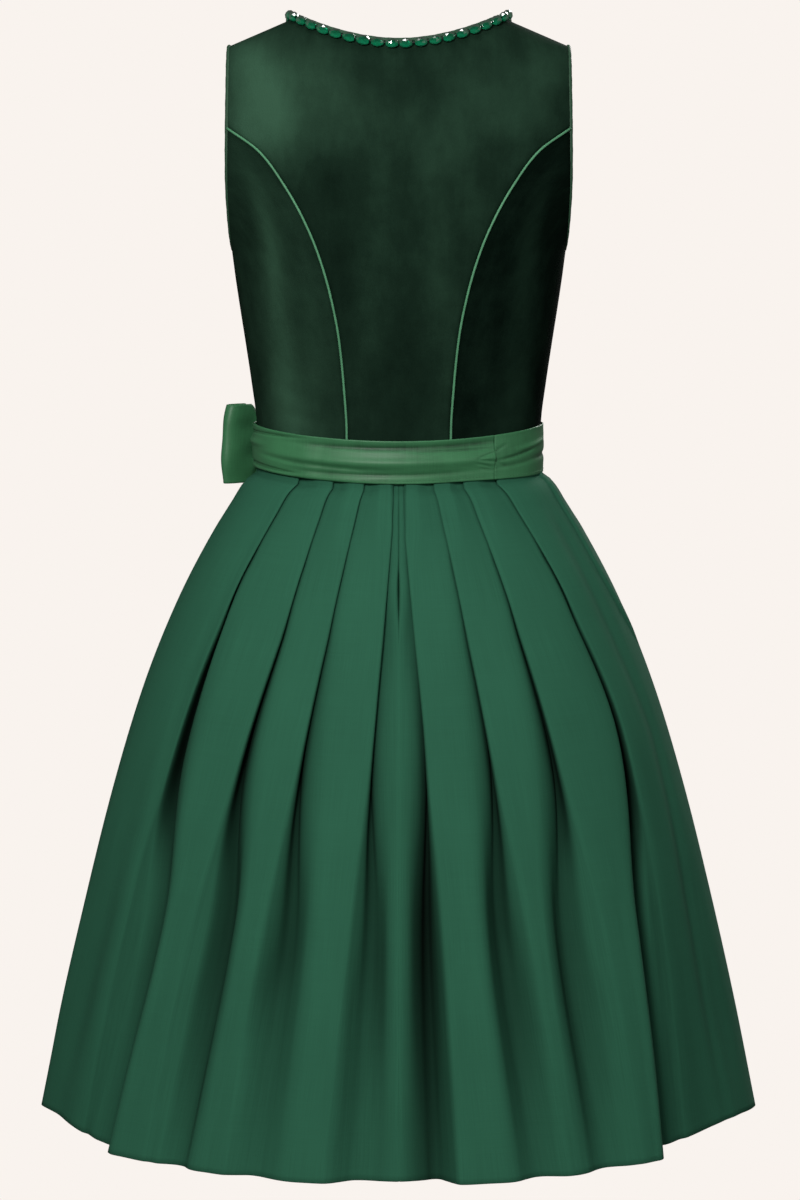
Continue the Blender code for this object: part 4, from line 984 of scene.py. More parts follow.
def restyled(table, shift, gain):
    """A crease table for the other side of the dress: alike, but not its mirror image."""
    changed = []
    for k, (u, v, turn, length, width, height) in enumerate(table):
        sway = shift * math.sin(2.4 * k + 1.0)
        changed.append((u + sway, v - 0.8 * sway, turn + 400 * sway,
                        length * (1 + 6 * sway), width, height * gain))
    return tuple(changed)


# lie of the pile outside the patches, on the wearer's left and right, with painted light: lighter on the
# left, painted shade on the right
CENTRE_LIE_AND_LIGHT = 0.34
PANEL_LIE_AND_LIGHT = {"front": (0.36, 0.30), "side_back": (0.40, 0.03), "side_front": (0.42, 0.20)}
# how the right side differs from the left: shift of its creases, and gains of creases and patches; the lower
# patch gains paint the right side darker, as painted shade
SIDES = (
    # side, word, shift, crease gain, patch gain at the front, patch gain at the side
    (1, "left", 0.0, 1.0, 1.0, 1.0),
    (-1, "right", 0.006, 0.85, 0.85, 0.55),
)


def make_bodice():
    velvet = velvet_finish()
    x, z = back_centre_net(CENTRE_ROWS, *BACK_COLUMNS)
    x = np.concatenate((-x[:, :0:-1], x), axis=1)
    z = np.concatenate((z[:, :0:-1], z), axis=1)
    piece = velvet_panel("velvet_back_centre", x, z, False, BACK_CREASES, BACK_SHEEN_SHADE, CENTRE_LIE_AND_LIGHT, "both")
    declare(piece, velvet, "velvet", "bodice_back_centre")
    for row, (side, word, shift, gain, front_gain, side_gain) in enumerate(SIDES):
        x, z = front_centre_net(CENTRE_ROWS, FRONT_COLUMNS)
        x = x + SEAM_GAP / 2 * (x < SEAM_GAP)
        piece = velvet_panel(f"velvet_front_{word}", x, z, True, restyled(FRONT_CREASES, shift, gain),
                             restyled(FRONT_SHEEN_SHADE, shift, front_gain), PANEL_LIE_AND_LIGHT["front"][row], "outer")
        declare(piece if side > 0 else flipped(piece), velvet, "velvet", f"bodice_front_{word}")
        for front, place in ((False, "side_back"), (True, "side_front")):
            x, z = side_net(front, *SIDE_NET)
            piece = velvet_panel(f"velvet_{place}_{word}", x, z, front, restyled(SIDE_CREASES, shift, gain),
                                 restyled(SIDE_SHEEN_SHADE, shift, side_gain), PANEL_LIE_AND_LIGHT[place][row], "inner")
            declare(piece if side > 0 else flipped(piece), velvet, "velvet", f"bodice_{place}_{word}")


# ---------------- pipings and bound edges
def make_pipings():
    """Satin-covered cord in both back seams."""
    satin = satin_finish("piping")
    z = np.linspace(WAIST_Z + PIPING_START, BACK_SEAM[-1][0] - PIPING_SHORT, EDGE_STEPS)
    x = np.minimum(column(BACK_SEAM, 1, z), edge_half_width(z, False))
    radius = settings().piping_width / 2
    points, out = body_surface(x, z, False)
    path = points + out * (radius - PIPING_SUNK)
    for side, word in ((1, "left"), (-1, "right")):
        line = path * np.array((side, 1, 1))
        across = out * np.array((side, 1, 1))
        swell = 1 + 0.05 * np.sin(np.arange(len(line)) * 1.9 + side)
        piece = cord(f"seam_cord_{word}", line, radius * swell, radius * swell, across, sides=12)
        dress_in(piece, satin, "satin", f"seam_piping_{word}")


# a place in the cloth's side of each edge
ARMHOLE_INWARD = np.array((0.0, 0.0, -0.25))
NECK_INWARD = np.array((0.0, 0.0, -0.6))


def edge_away(points, normals, inward):
    """Directions out of the cloth's edge, level with the cloth, round a closed edge."""
    along = np.roll(points, -1, axis=0) - np.roll(points, 1, axis=0)
    away = np.cross(along, normals)
    away /= np.linalg.norm(away, axis=1, keepdims=True)
    return -away if np.sum(away * (inward - points)) > 0 else away


def armhole_loop():
    """Points and directions round the left armhole, from the underarm up its back and down its front."""
    turn = np.linspace(math.pi / 2, -math.pi / 2, EDGE_STEPS)
    z = ARMHOLE_MID_Z - ARMHOLE_HALF_Z * np.sin(turn)
    back, back_out = body_surface(edge_half_width(z, False), z, False)
    front, front_out = body_surface(edge_half_width(z, True), z, True)
    points = np.vstack((back, front[-2:0:-1]))
    normals = np.vstack((back_out, front_out[-2:0:-1]))
    return points, normals


def neck_line(front, shares):
    x = NECK_HALF * np.asarray(shares)
    return body_surface(x, neck_edge(x, front), front)


def neck_loop(back_shares, front_shares):
    """The whole neck edge from centre back round by the wearer's left, and where its front starts."""
    back, back_out = neck_line(False, back_shares)
    front, front_out = neck_line(True, front_shares)
    half = np.vstack((back, front[-2::-1]))
    half_out = np.vstack((back_out, front_out[-2::-1]))
    flip = np.array((-1.0, 1.0, 1.0))
    points = np.vstack((half, half[-2:0:-1] * flip))
    normals = np.vstack((half_out, half_out[-2:0:-1] * flip))
    return points, normals, len(back) - 1


def neck_shares():
    back = 1 - (1 - np.linspace(0, 1, BEAD_ROUTE_STEPS + 1)) ** 2
    return back, np.sin(math.pi / 2 * back) ** (2 / NECK_SQUARE)


def bound_edge(name, points, normals, inward, node):
    """Folded satin binding round a cloth edge, with the slight ripple that its stitches pull into it."""
    away = edge_away(points, normals, inward)
    wide = settings().binding_width / 2
    centre = points - normals * VELVET_WALL / 2 + away * (BINDING_PROUD - wide)
    run = np.arange(len(points))
    ripple = 1 + 0.05 * np.sin(run * 0.9) + 0.04 * np.sin(run * 2.3 + 1.2)
    piece = cord(name, centre, wide * ripple, BINDING_DEPTH / 2 * ripple, normals, closed=True, sides=14)
    dress_in(piece, satin_finish("binding"), "satin", node)
    return piece


def make_bound_edges():
    points, normals = armhole_loop()
    for side, word in ((1, "left"), (-1, "right")):
        flip = np.array((side, 1.0, 1.0))
        bound_edge(f"armhole_binding_{word}", points * flip, normals * flip, ARMHOLE_INWARD,
                   f"armhole_piping_{word}")
    points, normals, _ = neck_loop(*neck_shares())
    bound_edge("neck_binding", points, normals, NECK_INWARD, "neck_piping")


# ---------------- cut glass beads
def pick(mesh, test):
    """Selects the faces of a mesh in edit mode that pass the test."""
    bpy.ops.mesh.select_all(action="DESELECT")
    bpy.ops.object.mode_set(mode="OBJECT")
    for face in mesh.polygons:
        face.select = bool(test(face))
    bpy.ops.object.mode_set(mode="EDIT")


def cut_bead(length, width):
    """One faceted bead round the Z axis: a ball with its ends cut off, drilled, and its waist turned."""
    bpy.ops.object.select_all(action="DESELECT")
    bpy.ops.mesh.primitive_uv_sphere_add(segments=9, ring_count=6, radius=0.5)
    bead = bpy.context.object
    bead.name = "bead"
    bpy.ops.object.mode_set(mode="EDIT")
    bpy.ops.mesh.select_mode(type="FACE")
    for sign in (1, -1):
        bpy.ops.mesh.select_all(action="SELECT")
        bpy.ops.mesh.bisect(plane_co=(0, 0, sign * BEAD_CUT), plane_no=(0, 0, sign),
                            clear_outer=True, use_fill=True)
    for sign in (1, -1):
        pick(bead.data, lambda face: face.normal.z * sign > 0.95)
        bpy.ops.mesh.inset(thickness=0.09)
        bpy.ops.mesh.extrude_region_move(TRANSFORM_OT_translate={"value": (0, 0, -sign * 0.12)})
    bpy.ops.mesh.select_mode(type="VERT")
    bpy.ops.mesh.select_all(action="DESELECT")
    bpy.ops.object.mode_set(mode="OBJECT")
    for corner in bead.data.vertices:
        corner.select = abs(corner.co.z) < 0.02
    bpy.ops.object.mode_set(mode="EDIT")
    bpy.ops.transform.rotate(value=math.radians(BEAD_WAIST_TURN), orient_axis="Z", center_override=(0, 0, 0))
    bpy.ops.mesh.select_all(action="SELECT")
    bpy.ops.mesh.quads_convert_to_tris(quad_method="SHORTEST_DIAGONAL", ngon_method="BEAUTY")
    bpy.ops.mesh.normals_make_consistent(inside=False)
    bpy.ops.transform.resize(value=(width, width, length / (2 * BEAD_CUT)), center_override=(0, 0, 0))
    bpy.ops.object.mode_set(mode="OBJECT")
    return bead


def string_of_beads(name, thread_name, route, normals, node, bead):
    """Beads along a route, each a copy turned its own way, on a thread."""
    size = settings()
    run = run_of(route)
    margin = size.bead_pitch * BEAD_MARGIN
    count = int((run[-1] - 2 * margin) / size.bead_pitch)
    pitch = (run[-1] - 2 * margin) / count
    corners = np.array([tuple(v.co) for v in bead.data.vertices])
    faces = np.array([tuple(f.vertices) for f in bead.data.polygons])
    draw = np.random.default_rng(11 if "back" in name else 23)
    points = []
    every = []
    for i in range(count):
        at = margin + (i + 0.5) * pitch + draw.uniform(-BEAD_SLIP, BEAD_SLIP)
        place = read_line(route, run, at)
        ahead = read_line(route, run, at + 0.001) - place
        out = read_line(normals, run, at)
        along = ahead / np.linalg.norm(ahead) + draw.uniform(-BEAD_TILT, BEAD_TILT, 3)
        along /= np.linalg.norm(along)
        side = np.cross(along, out)
        side /= np.linalg.norm(side)
        up = np.cross(side, along)
        twist = draw.uniform(0, 2 * math.pi)
        one = side * math.cos(twist) + up * math.sin(twist)
        two = up * math.cos(twist) - side * math.sin(twist)
        grown = draw.uniform(*BEAD_GROWN)
        basis = np.stack((one, two, along))
        points.append(place + (corners * grown) @ basis)
        every.append(faces + i * len(corners))
    piece = new_mesh(name, np.vstack(points), np.vstack(every).tolist())
    piece.data.shade_flat()
    dress_in(piece, glass_finish(), "glass", node)
    short = size.bead_pitch * THREAD_SHORT
    path = evenly(route[(run > short) & (run < run[-1] - short)], THREAD_STEP)
    thread = cord(thread_name, path, BEAD_THREAD, BEAD_THREAD, sides=6)
    dress_in(thread, thread_finish("glass"), "satin")


def make_beads():
    size = settings()
    points, normals, turn = neck_loop(*neck_shares())
    away = edge_away(points, normals, NECK_INWARD)
    line = points - away * size.bead_inset + normals * (size.bead_width / 2 - BEAD_SUNK)
    count = len(points)
    bead = cut_bead(size.bead_length, size.bead_width)
    around_back = [i % count for i in range(count - turn, count + turn + 1)]
    around_front = list(range(turn, count - turn + 1))
    string_of_beads("beads_back", "bead_thread_back", line[around_back], normals[around_back],
                    "bead_string_back", bead)
    string_of_beads("beads_front", "bead_thread_front", line[around_front], normals[around_front],
                    "bead_string_front", bead)
    bpy.data.objects.remove(bead, do_unlink=True)


# ---------------- pleated skirt
# soft valleys (-) and ridges (+) between the pleats: side of the centre, places as (share, angle),
# shares where each fades in and is full, half-width and height in metres
SKIRT_FOLDS = {
    "back_left": (
        (((0.50, 19.8), (0.66, 21.3), (0.76, 25.6), (1.0, 33.0)), (0.52, 0.72), 0.014, -0.0030),
        (((0.10, 37.0), (0.35, 45.0), (0.70, 50.0), (1.0, 52.0)), (0.12, 0.40), 0.016, 0.0030),
        (((0.25, 62.0), (0.60, 66.0), (1.0, 70.0)), (0.30, 0.80), 0.022, -0.0050),
        (((0.25, 76.0), (0.60, 79.0), (1.0, 80.0)), (0.30, 0.90), 0.020, 0.0030),
        (((0.20, 8.0), (0.60, 11.0), (1.0, 17.0)), (0.30, 0.80), 0.016, 0.0026),
        (((0.05, 47.0), (0.12, 51.0), (0.30, 56.0)), (0.05, 0.12), 0.010, -0.0016),
    ),
    "back_right": (
        (((0.50, 17.8), (0.57, 18.8), (0.71, 22.5), (0.84, 24.2), (1.0, 25.5)), (0.50, 0.72), 0.014, -0.0030),
        (((0.50, 28.6), (0.58, 29.8), (0.73, 31.7), (0.93, 34.7), (1.0, 35.5)), (0.52, 0.74), 0.014, -0.0030),
        (((0.30, 14.5), (0.60, 16.0), (1.0, 19.5)), (0.40, 0.85), 0.014, 0.0035),
        (((0.02, 62.0), (0.10, 63.0), (0.24, 66.0), (0.40, 70.0)), (0.04, 0.12), 0.012, -0.0030),
        (((0.30, 70.0), (0.60, 73.0), (1.0, 76.0)), (0.40, 0.90), 0.022, -0.0045),
    ),
    "front": (
        (((0.20, 22.0), (0.60, 27.0), (1.0, 30.0)), (0.30, 0.90), 0.016, -0.0030),
        (((0.20, 42.0), (0.60, 46.0), (1.0, 49.0)), (0.30, 0.90), 0.016, -0.0030),
        (((0.20, 68.0), (0.60, 71.0), (1.0, 73.0)), (0.30, 0.90), 0.024, -0.0050),
    ),
}
# the edge of a pressed fold that lies along the wearer's right side: share and angle
SIDE_FOLD = ((0.0, 79.0), (0.05, 73.5), (0.14, 74.0), (0.21, 77.5), (0.27, 83.0), (0.31, 90.0))


def curve_through(points, counts):
    """Smooth line through points, level where it starts, with so many steps on each stretch."""
    points = np.asarray(points, float)
    ends = np.vstack((points[1] * (-1, 1), points, 2 * points[-1] - points[-2]))
    gaps = np.maximum(1e-6, np.sqrt(np.linalg.norm(np.diff(ends, axis=0), axis=1)))
    knots = np.concatenate(((0,), np.cumsum(gaps)))
    line = []
    for i, steps in enumerate(counts):
        p0, p1, p2, p3 = ends[i:i + 4]
        t0, t1, t2, t3 = knots[i:i + 4]
        t = np.linspace(t1, t2, steps, endpoint=False)[:, None]
        a1 = (t1 - t) / (t1 - t0) * p0 + (t - t0) / (t1 - t0) * p1
        a2 = (t2 - t) / (t2 - t1) * p1 + (t - t1) / (t2 - t1) * p2
        a3 = (t3 - t) / (t3 - t2) * p2 + (t - t2) / (t3 - t2) * p3
        b1 = (t2 - t) / (t2 - t0) * a1 + (t - t0) / (t2 - t0) * a2
        b2 = (t3 - t) / (t3 - t1) * a2 + (t - t1) / (t3 - t1) * a3
        line.append((t2 - t) / (t2 - t1) * b1 + (t - t1) / (t2 - t1) * b2)
    line.append(points[-1:])
    return np.vstack(line)


def thicken(points, wall):
    """Two lines on either side of an open line, each half a wall away."""
    step = np.diff(points, axis=0)
    step /= np.maximum(1e-9, np.linalg.norm(step, axis=1, keepdims=True))
    before = np.vstack((step[:1], step))
    after = np.vstack((step, step[-1:]))
    normal = np.column_stack((before[:, 1] + after[:, 1], -(before[:, 0] + after[:, 0])))
    normal /= np.maximum(1e-9, np.linalg.norm(normal, axis=1, keepdims=True))
    across = np.sum(normal * np.column_stack((before[:, 1], -before[:, 0])), axis=1)
    offset = normal * (wall / 2 / np.maximum(across, 0.7))[:, None]
    return points + offset, points - offset


def fold_height(which, angle, share, ring):
    """Height of the soft folds at angles round the ring."""
    total = np.zeros_like(angle)
    metres = ring.run[-1] / 90.0
    for line, (start, full), width, height in SKIRT_FOLDS[which]:
        at = float(smooth([p[0] for p in line], [p[1] for p in line], share))
        total += height * float(ramp(start, full, share)) * bump_of((angle - at) * metres, width)
    if which == "back_right" and share < SIDE_FOLD[-1][0]:
        at = float(smooth([p[0] for p in SIDE_FOLD], [p[1] for p in SIDE_FOLD], share))
        fade = float(ramp(0.0, 0.03, share) * (1 - ramp(0.24, 0.31, share)))
        distance = (angle - at) * metres
        rise = ramp(-0.0015, 0.0015, distance) * (1 - 0.8 * ramp(0.004, 0.030, distance))
        total += SIDE_FOLD_STEP * fade * rise
    return total * settings().crease_depth * (1 - 0.6 * float(ramp(0.80, 1.0, share)))


# painted shade of the few places where the folds turn furthest from the light
SKIRT_DEEP = {
    # which: (angle, half width in degrees, share of the length where it starts and is full, how much)
    "back_left": ((3.0, 2.2, 0.50, 0.80, 0.10), (67.0, 8.0, 0.30, 0.60, 0.10)),
    "back_right": ((4.6, 3.4, 0.42, 0.66, 0.24), (60.5, 3.6, 0.28, 0.46, 0.14)),
    "front": (),
}


def deep_places(which, angle, share):
    """Shade of the few places where the folds turn furthest from the light."""
    total = np.zeros(len(angle))
    for at, half, first, last, much in SKIRT_DEEP[which]:
        total += much * np.exp(-((angle - at) / half) ** 2) * float(ramp(first, last, share))
    return total


def closed_in(distance, height):
    """How much of the half circle above each point of a section its neighbours hide, 0 to 1."""
    across = distance[None, :] - distance[:, None]
    up = height[None, :] - height[:, None]
    lower = np.tri(len(distance), k=-1, dtype=bool)
    left = np.where(lower, np.arctan2(up, -across), 0.0)
    right = np.where(lower.T, np.arctan2(up, across), 0.0)
    hidden = np.maximum(0.0, left.max(axis=1)) + np.maximum(0.0, right.max(axis=1))
    return np.clip((hidden / math.pi - SHADE_FROM) / SHADE_SPAN, 0.0, 1.0)


def skirt_quarter(front, which, rows):
    """Outer and inner points of a quarter of the skirt on the wearer's left, its plan and its shade."""
    shares = np.linspace(0, 1, rows) ** ROW_CROWDING
    lines = [skirt_half(float(share), front, which) for share in shares]
    reach = np.max([np.linalg.norm(np.diff(np.array(line), axis=0), axis=1) for _, line in lines], axis=0)
    counts = [int(np.clip(math.ceil(gap / SKIRT_STEP), *STEPS_ACROSS)) for gap in reach]
    dip_depth = WAIST_DIP_FRONT if front else WAIST_DIP_BACK
    turn = -1.0 if front else 1.0
    outer = []
    inner = []
    shade = []
    for share, (ring, line) in zip(shares, lines):
        fine = curve_through(line, counts)
        angle = np.interp(fine[:, 0], ring.run, ring.angles)
        height = fine[:, 1] + fold_height(which, angle, share, ring) * ramp(90.0, 84.0, angle)
        x, y = ring.point(fine[:, 0], height)
        hem = 1 + HEM_TURN_UP * float(ramp(1 - HEM_DEEP - 0.004, 1 - HEM_DEEP, share))
        one, two = thicken(np.column_stack((x, y)), SKIRT_WALL)
        one = two + (one - two) * hem
        dip = dip_depth * (1 - share) ** 2 * np.maximum(0.0, 1 - (x / ring.a) ** 2)
        z = WAIST_Z - share * SKIRT_LENGTH - dip
        sway = np.sin(np.radians(angle * 5.0) + (0.8 if which == "back_left" else 2.0))
        z = z + hem_lift(which, share, angle) + HEM_SWAY * share ** 6 * sway
        for points, net in ((two, outer), (one, inner)):
            row = np.column_stack((points[:, 0], turn * points[:, 1], z))
            row[0, 0] = SEAM_GAP / 8
            row[-1, 1] = turn * SEAM_GAP / 2
            net.append(row)
        opened = mix(PRESSED_SHADE, 1.0, float(ramp(0.15, 0.45, share)))
        hidden = closed_in(fine[:, 0], height) * opened
        shade.append(np.minimum(hidden + deep_places(which, angle, share), 1.0))
    outer, inner = np.array(outer), np.array(inner)
    run = run_along(outer, 1)
    plan = np.stack((np.broadcast_to(run[int(rows * 0.55)][None, :], run.shape),
                     np.broadcast_to((shares * SKIRT_LENGTH)[:, None], run.shape)), axis=-1)
    return outer, inner, plan, np.array(shade)


def make_skirt():
    twill = twill_finish()
    for front, place, rows in ((False, "back", SKIRT_BACK_ROWS), (True, "front", SKIRT_FRONT_ROWS)):
        for side, word in ((1, "left"), (-1, "right")):
            which = "front" if front else f"back_{word}"
            outer, inner, plan, shade = skirt_quarter(front, which, rows)
            piece = cloth(f"twill_{place}_{word}", outer, inner, plan, shade)
            declare(piece if side > 0 else flipped(piece), twill, "twill", f"skirt_{place}_{word}")


# ---------------- satin: apron, band, bow
def ring_frame(angles, share):
    """Places on the skirt's plain form at angles from centre back, and the level directions out of it."""
    base = []
    out = []
    for angle in np.atleast_1d(angles):
        near = over_ring(float(angle), share, 0.0, 0.0)
        base.append(near)
        out.append(over_ring(float(angle), share, 1.0, 0.0) - near)
    return np.array(base), np.array(out)


# soft folds of the bands: angle from centre back and share down from the top edge, fall in shares
# for each degree, half-length in degrees, half-width as a share, height in metres
TIE_FOLDS = (
    (66.0, 0.90, -0.0010, 22.0, 0.035, -0.0013),
    (42.0, 0.95, 0.0000, 26.0, 0.030, 0.0005),
    (-2.0, 0.16, 0.0006, 44.0, 0.080, -0.0011),
    (-22.0, 0.27, -0.0010, 16.0, 0.040, -0.0007),
    (-8.0, 0.52, 0.0004, 50.0, 0.130, 0.0015),
    (34.0, 0.66, -0.0014, 30.0, 0.060, -0.0009),
    (8.0, 0.80, 0.0008, 36.0, 0.060, -0.0008),
    (70.0, 0.13, 0.0022, 26.0, 0.030, -0.0011),
    (84.0, 0.40, 0.0015, 18.0, 0.080, 0.0010),
    (-35.5, 0.44, 0.0120, 4.0, 0.035, -0.0007),
    (-36.0, 0.56, -0.0080, 4.5, 0.030, -0.0008),
    (-35.0, 0.66, -0.0160, 4.0, 0.030, -0.0007),
    (-36.5, 0.76, -0.0100, 3.5, 0.030, -0.0006),
    (106.0, 0.32, 0.0060, 20.0, 0.050, -0.0011),
    (112.0, 0.55, 0.0000, 18.0, 0.050, -0.0012),
    (108.0, 0.76, -0.0060, 20.0, 0.045, -0.0010),
)
WAISTBAND_FOLDS = (
    (-54.0, 0.50, 0.0060, 12.0, 0.030, -0.0010),
    (-52.0, 0.70, 0.0030, 11.0, 0.045, -0.0006),
    (-68.0, 0.34, 0.0030, 16.0, 0.050, 0.0008),
    (-82.0, 0.62, 0.0010, 20.0, 0.060, -0.0008),
    (-43.0, 0.30, 0.0200, 3.0, 0.035, -0.0004),
    (-43.5, 0.66, -0.0160, 3.0, 0.035, -0.0005),
    (-104.0, 0.26, 0.0020, 18.0, 0.045, -0.0007),
    (-120.0, 0.58, -0.0012, 26.0, 0.060, -0.0006),
    (-150.0, 0.40, 0.0010, 30.0, 0.060, 0.0006),
    (-172.0, 0.70, 0.0004, 26.0, 0.050, -0.0006),
    (-205.0, 0.30, -0.0010, 26.0, 0.050, -0.0005),
    (-222.0, 0.62, 0.0020, 16.0, 0.050, -0.0007),
)


def band_folds(angle, down, table):
    total = np.zeros(np.broadcast(angle, down).shape)
    for at, share, fall, half_length, half_width, height in table:
        middle = share + fall * (angle - at)
        total += height * bump_of(down - middle, half_width) * np.exp(-((angle - at) / half_length) ** 4)
    return total


def band_net(start, end, layer, table, rows, step, turn_back=0.0):
    """Outer and inner points of a stretch of band, its plan in metres, and the painted shade of its troughs
    less a painted highlight.
    """
    angles = np.linspace(start, end, int(abs(end - start) / step) + 1)
    base, out = ring_frame(angles, WAIST_SHARE)
    low = np.array([band_height(float(a), layer) for a in angles])
    tops, feet = np.array([band_edges(float(a)) for a in angles]).T
    down = np.linspace(0, 1, rows)[:, None]
    named = angles[None, :] - turn_back
    fold = BAND_FOLD_GAIN * band_folds(named, down, table) * settings().crease_depth
    rim = BAND_ROLL * (bump_of(down, 0.05) + bump_of(1 - down, 0.05))
    height = low[None, :] + BAND_BULGE * np.sin(math.pi * down) + fold + rim
    z = mix(tops[None, :], feet[None, :], down)
    inner = base[None] + out[None] * height[..., None]
    inner[..., 2] = z
    outer = inner + out[None] * SATIN_WALL
    run = run_along(outer, 1)[rows // 2]
    plan = np.stack((np.broadcast_to(run[None, :], z.shape), tops[None, :] - z), axis=-1)
    at, half_length, share, half_width, strength = BAND_PAINTED_SHEEN
    # painted highlight on the tie, toward the wearer's left, where the light catches it
    painted_sheen = strength * bump_of(named - at, half_length) * bump_of(down - share, half_width)
    return outer, inner, plan, ramp(*BAND_TROUGH, -fold) - painted_sheen


def make_bands():
    """The waistband of the apron and the tie that is sewn to it and goes round to the bow."""
    satin = satin_finish("band")
    gap = math.degrees(SEAM_GAP / 2 / SKIRT[0][1])
    start, end = JOIN_ANGLE + gap, KNOT_ANGLE + TIE_PAST_KNOT
    outer, inner, plan, trough = band_net(start, end, "tie", TIE_FOLDS, TIE_ROWS, TIE_STEP)
    tie = cloth("satin_tie", outer, inner, plan, trough)
    declare(tie, satin, "satin", "waist_tie")
    stitch_edge("tie_stitches", outer, start, end, *TIE_STITCHED)
    start, end = UNDERLAP_ANGLE, JOIN_ANGLE + 360 - gap
    outer, inner, plan, trough = band_net(start, end, "waistband", WAISTBAND_FOLDS,
                                          WAISTBAND_ROWS, WAISTBAND_STEP, 360.0)
    waistband = cloth("satin_waistband", outer, inner, plan, trough)
    declare(waistband, satin, "satin", "apron_waistband")
    stitch_edge("waistband_stitches", outer, start, end, *WAISTBAND_STITCHED)
    stitch_join(JOIN_ANGLE - gap - JOIN_STITCH_OFF)


def stitch_join(angle):
    """Stitches down the end of the waistband, beside its join with the tie."""
    base, out = ring_frame(angle, WAIST_SHARE)
    top, foot = band_edges(JOIN_ANGLE)
    low = band_height(JOIN_ANGLE + 360, "waistband") + SATIN_WALL
    line = []
    for down in np.linspace(0.04, 0.96, JOIN_STITCH_STEPS):
        height = low + BAND_BULGE * math.sin(math.pi * down)
        line.append((*(base[0, :2] + out[0, :2] * height), mix(top, foot, down)))
    stitches("join_stitches", np.array(line), np.broadcast_to(out[0], (len(line), 3)))


def stitch_edge(name, outer, start, end, first, last):
    """Stitches along the foot of a band between two angles."""
    low = int(outer.shape[0] * 0.93)
    angles = np.linspace(start, end, outer.shape[1])
    inside = (angles > first) & (angles < last)
    line = outer[low][inside]
    up = outer[low - 2][inside] - line
    normals = np.cross(up, np.gradient(line, axis=0))
    normals /= np.linalg.norm(normals, axis=1, keepdims=True)
    if np.sum(normals[:, :2] * line[:, :2]) < 0:
        normals = -normals
    stitches(name, line, normals)


def stitches(name, line, normals):
    """A row of small stitches lying on cloth, each one a short bent thread."""
    size = settings()
    run = run_of(line)
    count = int(run[-1] / size.stitch_pitch)
    points = []
    faces = []
    turn = 2 * math.pi * np.arange(4) / 4 + math.pi / 4
    for i in range(count):
        start = (i + STITCH_STARTS) * size.stitch_pitch
        stretch = start + np.linspace(0, STITCH_SHARE, 4) * size.stitch_pitch
        path = read_line(line, run, stretch)
        _, up, side = frames_along(path, read_line(normals, run, stretch))
        ring = (path + up * np.array(STITCH_RISE)[:, None])[:, None] + STITCH_THICK / 2 * (
            side[:, None] * np.cos(turn)[None, :, None] + up[:, None] * np.sin(turn)[None, :, None])
        first = len(points) * 16
        points.append(ring.reshape(-1, 3))
        for r in range(3):
            for c in range(4):
                a, b = first + r * 4 + c, first + r * 4 + (c + 1) % 4
                faces.append((a, b, b + 4, a + 4))
        faces.append((first + 3, first + 2, first + 1, first))
        faces.append((first + 12, first + 13, first + 14, first + 15))
    dress_in(new_mesh(name, np.vstack(points), faces), thread_finish(), "satin")


# waves across the apron: height, waves in half its width (in radians) and where they start
APRON_WARP = ((0.030, 5.2, 0.5), (0.016, 11.3, 1.7))
APRON_SMALL = 27             # small gathers under the waistband, across the apron


def waves(at, table):
    """Sum of the waves of a table."""
    return sum(height * np.sin(turn * at + start) for height, turn, start in table)


def apron_surface(share, across, gathers):
    """Angle and height of the apron at a share of the skirt's length and places from -1 to 1 across."""
    half = 180 - mix(APRON_EDGE_TOP, APRON_EDGE_HEM, float(ramp(0.0, APRON_END, share)))
    angle = 180 + across * half
    warped = across + waves(across, APRON_WARP)
    wave = 0.5 - 0.5 * np.cos(math.pi * gathers * (warped + 1))
    tall = 0.74 + 0.26 * np.sin(4.1 * across + 0.9) * np.cos(2.3 * across)
    swing = APRON_SWING * float(ramp(0.02, 0.8, share)) * wave ** 0.85 * tall
    small = 0.5 - 0.5 * np.cos(math.pi * APRON_SMALL * (across + 1) + 2.2 * np.sin(6.0 * across))
    near_band = float(ramp(0.034, 0.060, share) * (1 - ramp(0.10, 0.30, share)))
    gather = small * (0.0002 + 0.0021 * near_band) * (0.7 + 0.3 * np.sin(13.0 * across + 0.4))
    base = np.array([apron_height(float(a), share) for a in angle])
    return angle, base + swing + gather


def make_apron():
    gathers = settings().apron_gathers
    rows, columns = APRON_NET
    drops = mix(APRON_TOP_DROP, APRON_HEM_DROP, np.linspace(0, 1, rows) ** 1.08)
    across = np.sin(np.linspace(-1, 1, columns) * 1.35) / math.sin(1.35)
    outer = []
    inner = []
    for drop in drops:
        share = max(0.001, drop / SKIRT_LENGTH)
        angle, height = apron_surface(share, across, gathers)
        base, out = ring_frame(angle, share)
        hem = ramp(APRON_HEM_DROP - APRON_HEM_DEEP - 0.002, APRON_HEM_DROP - APRON_HEM_DEEP, drop)
        edge = bump_of(np.minimum(1 - across, 1 + across), 0.03)
        wall = APRON_WALL * (1 + 0.5 * np.maximum(float(hem), edge))
        z = np.array([WAIST_Z - drop - waist_level(float(a)) * (1 - share) ** 2 for a in angle])
        z = z + 0.004 * share ** 5 * np.sin(6.0 * across + 0.6)
        low = base + out * height[:, None]
        high = low + out * wall[:, None]
        low[:, 2] = z
        high[:, 2] = z
        inner.append(low)
        outer.append(high)
    outer, inner = np.array(outer), np.array(inner)
    piece = cloth("satin_apron", outer, inner)
    declare(piece, satin_finish("apron"), "satin", "apron_panel")
    hem_row = int(np.searchsorted(drops, APRON_HEM_DROP - APRON_HEM_DEEP + 0.0015))
    line = outer[hem_row]
    normals = line * np.array((1.0, 1.0, 0.0))
    normals /= np.linalg.norm(normals, axis=1, keepdims=True)
    stitches("apron_hem_stitches", line[4:-4], normals[4:-4])


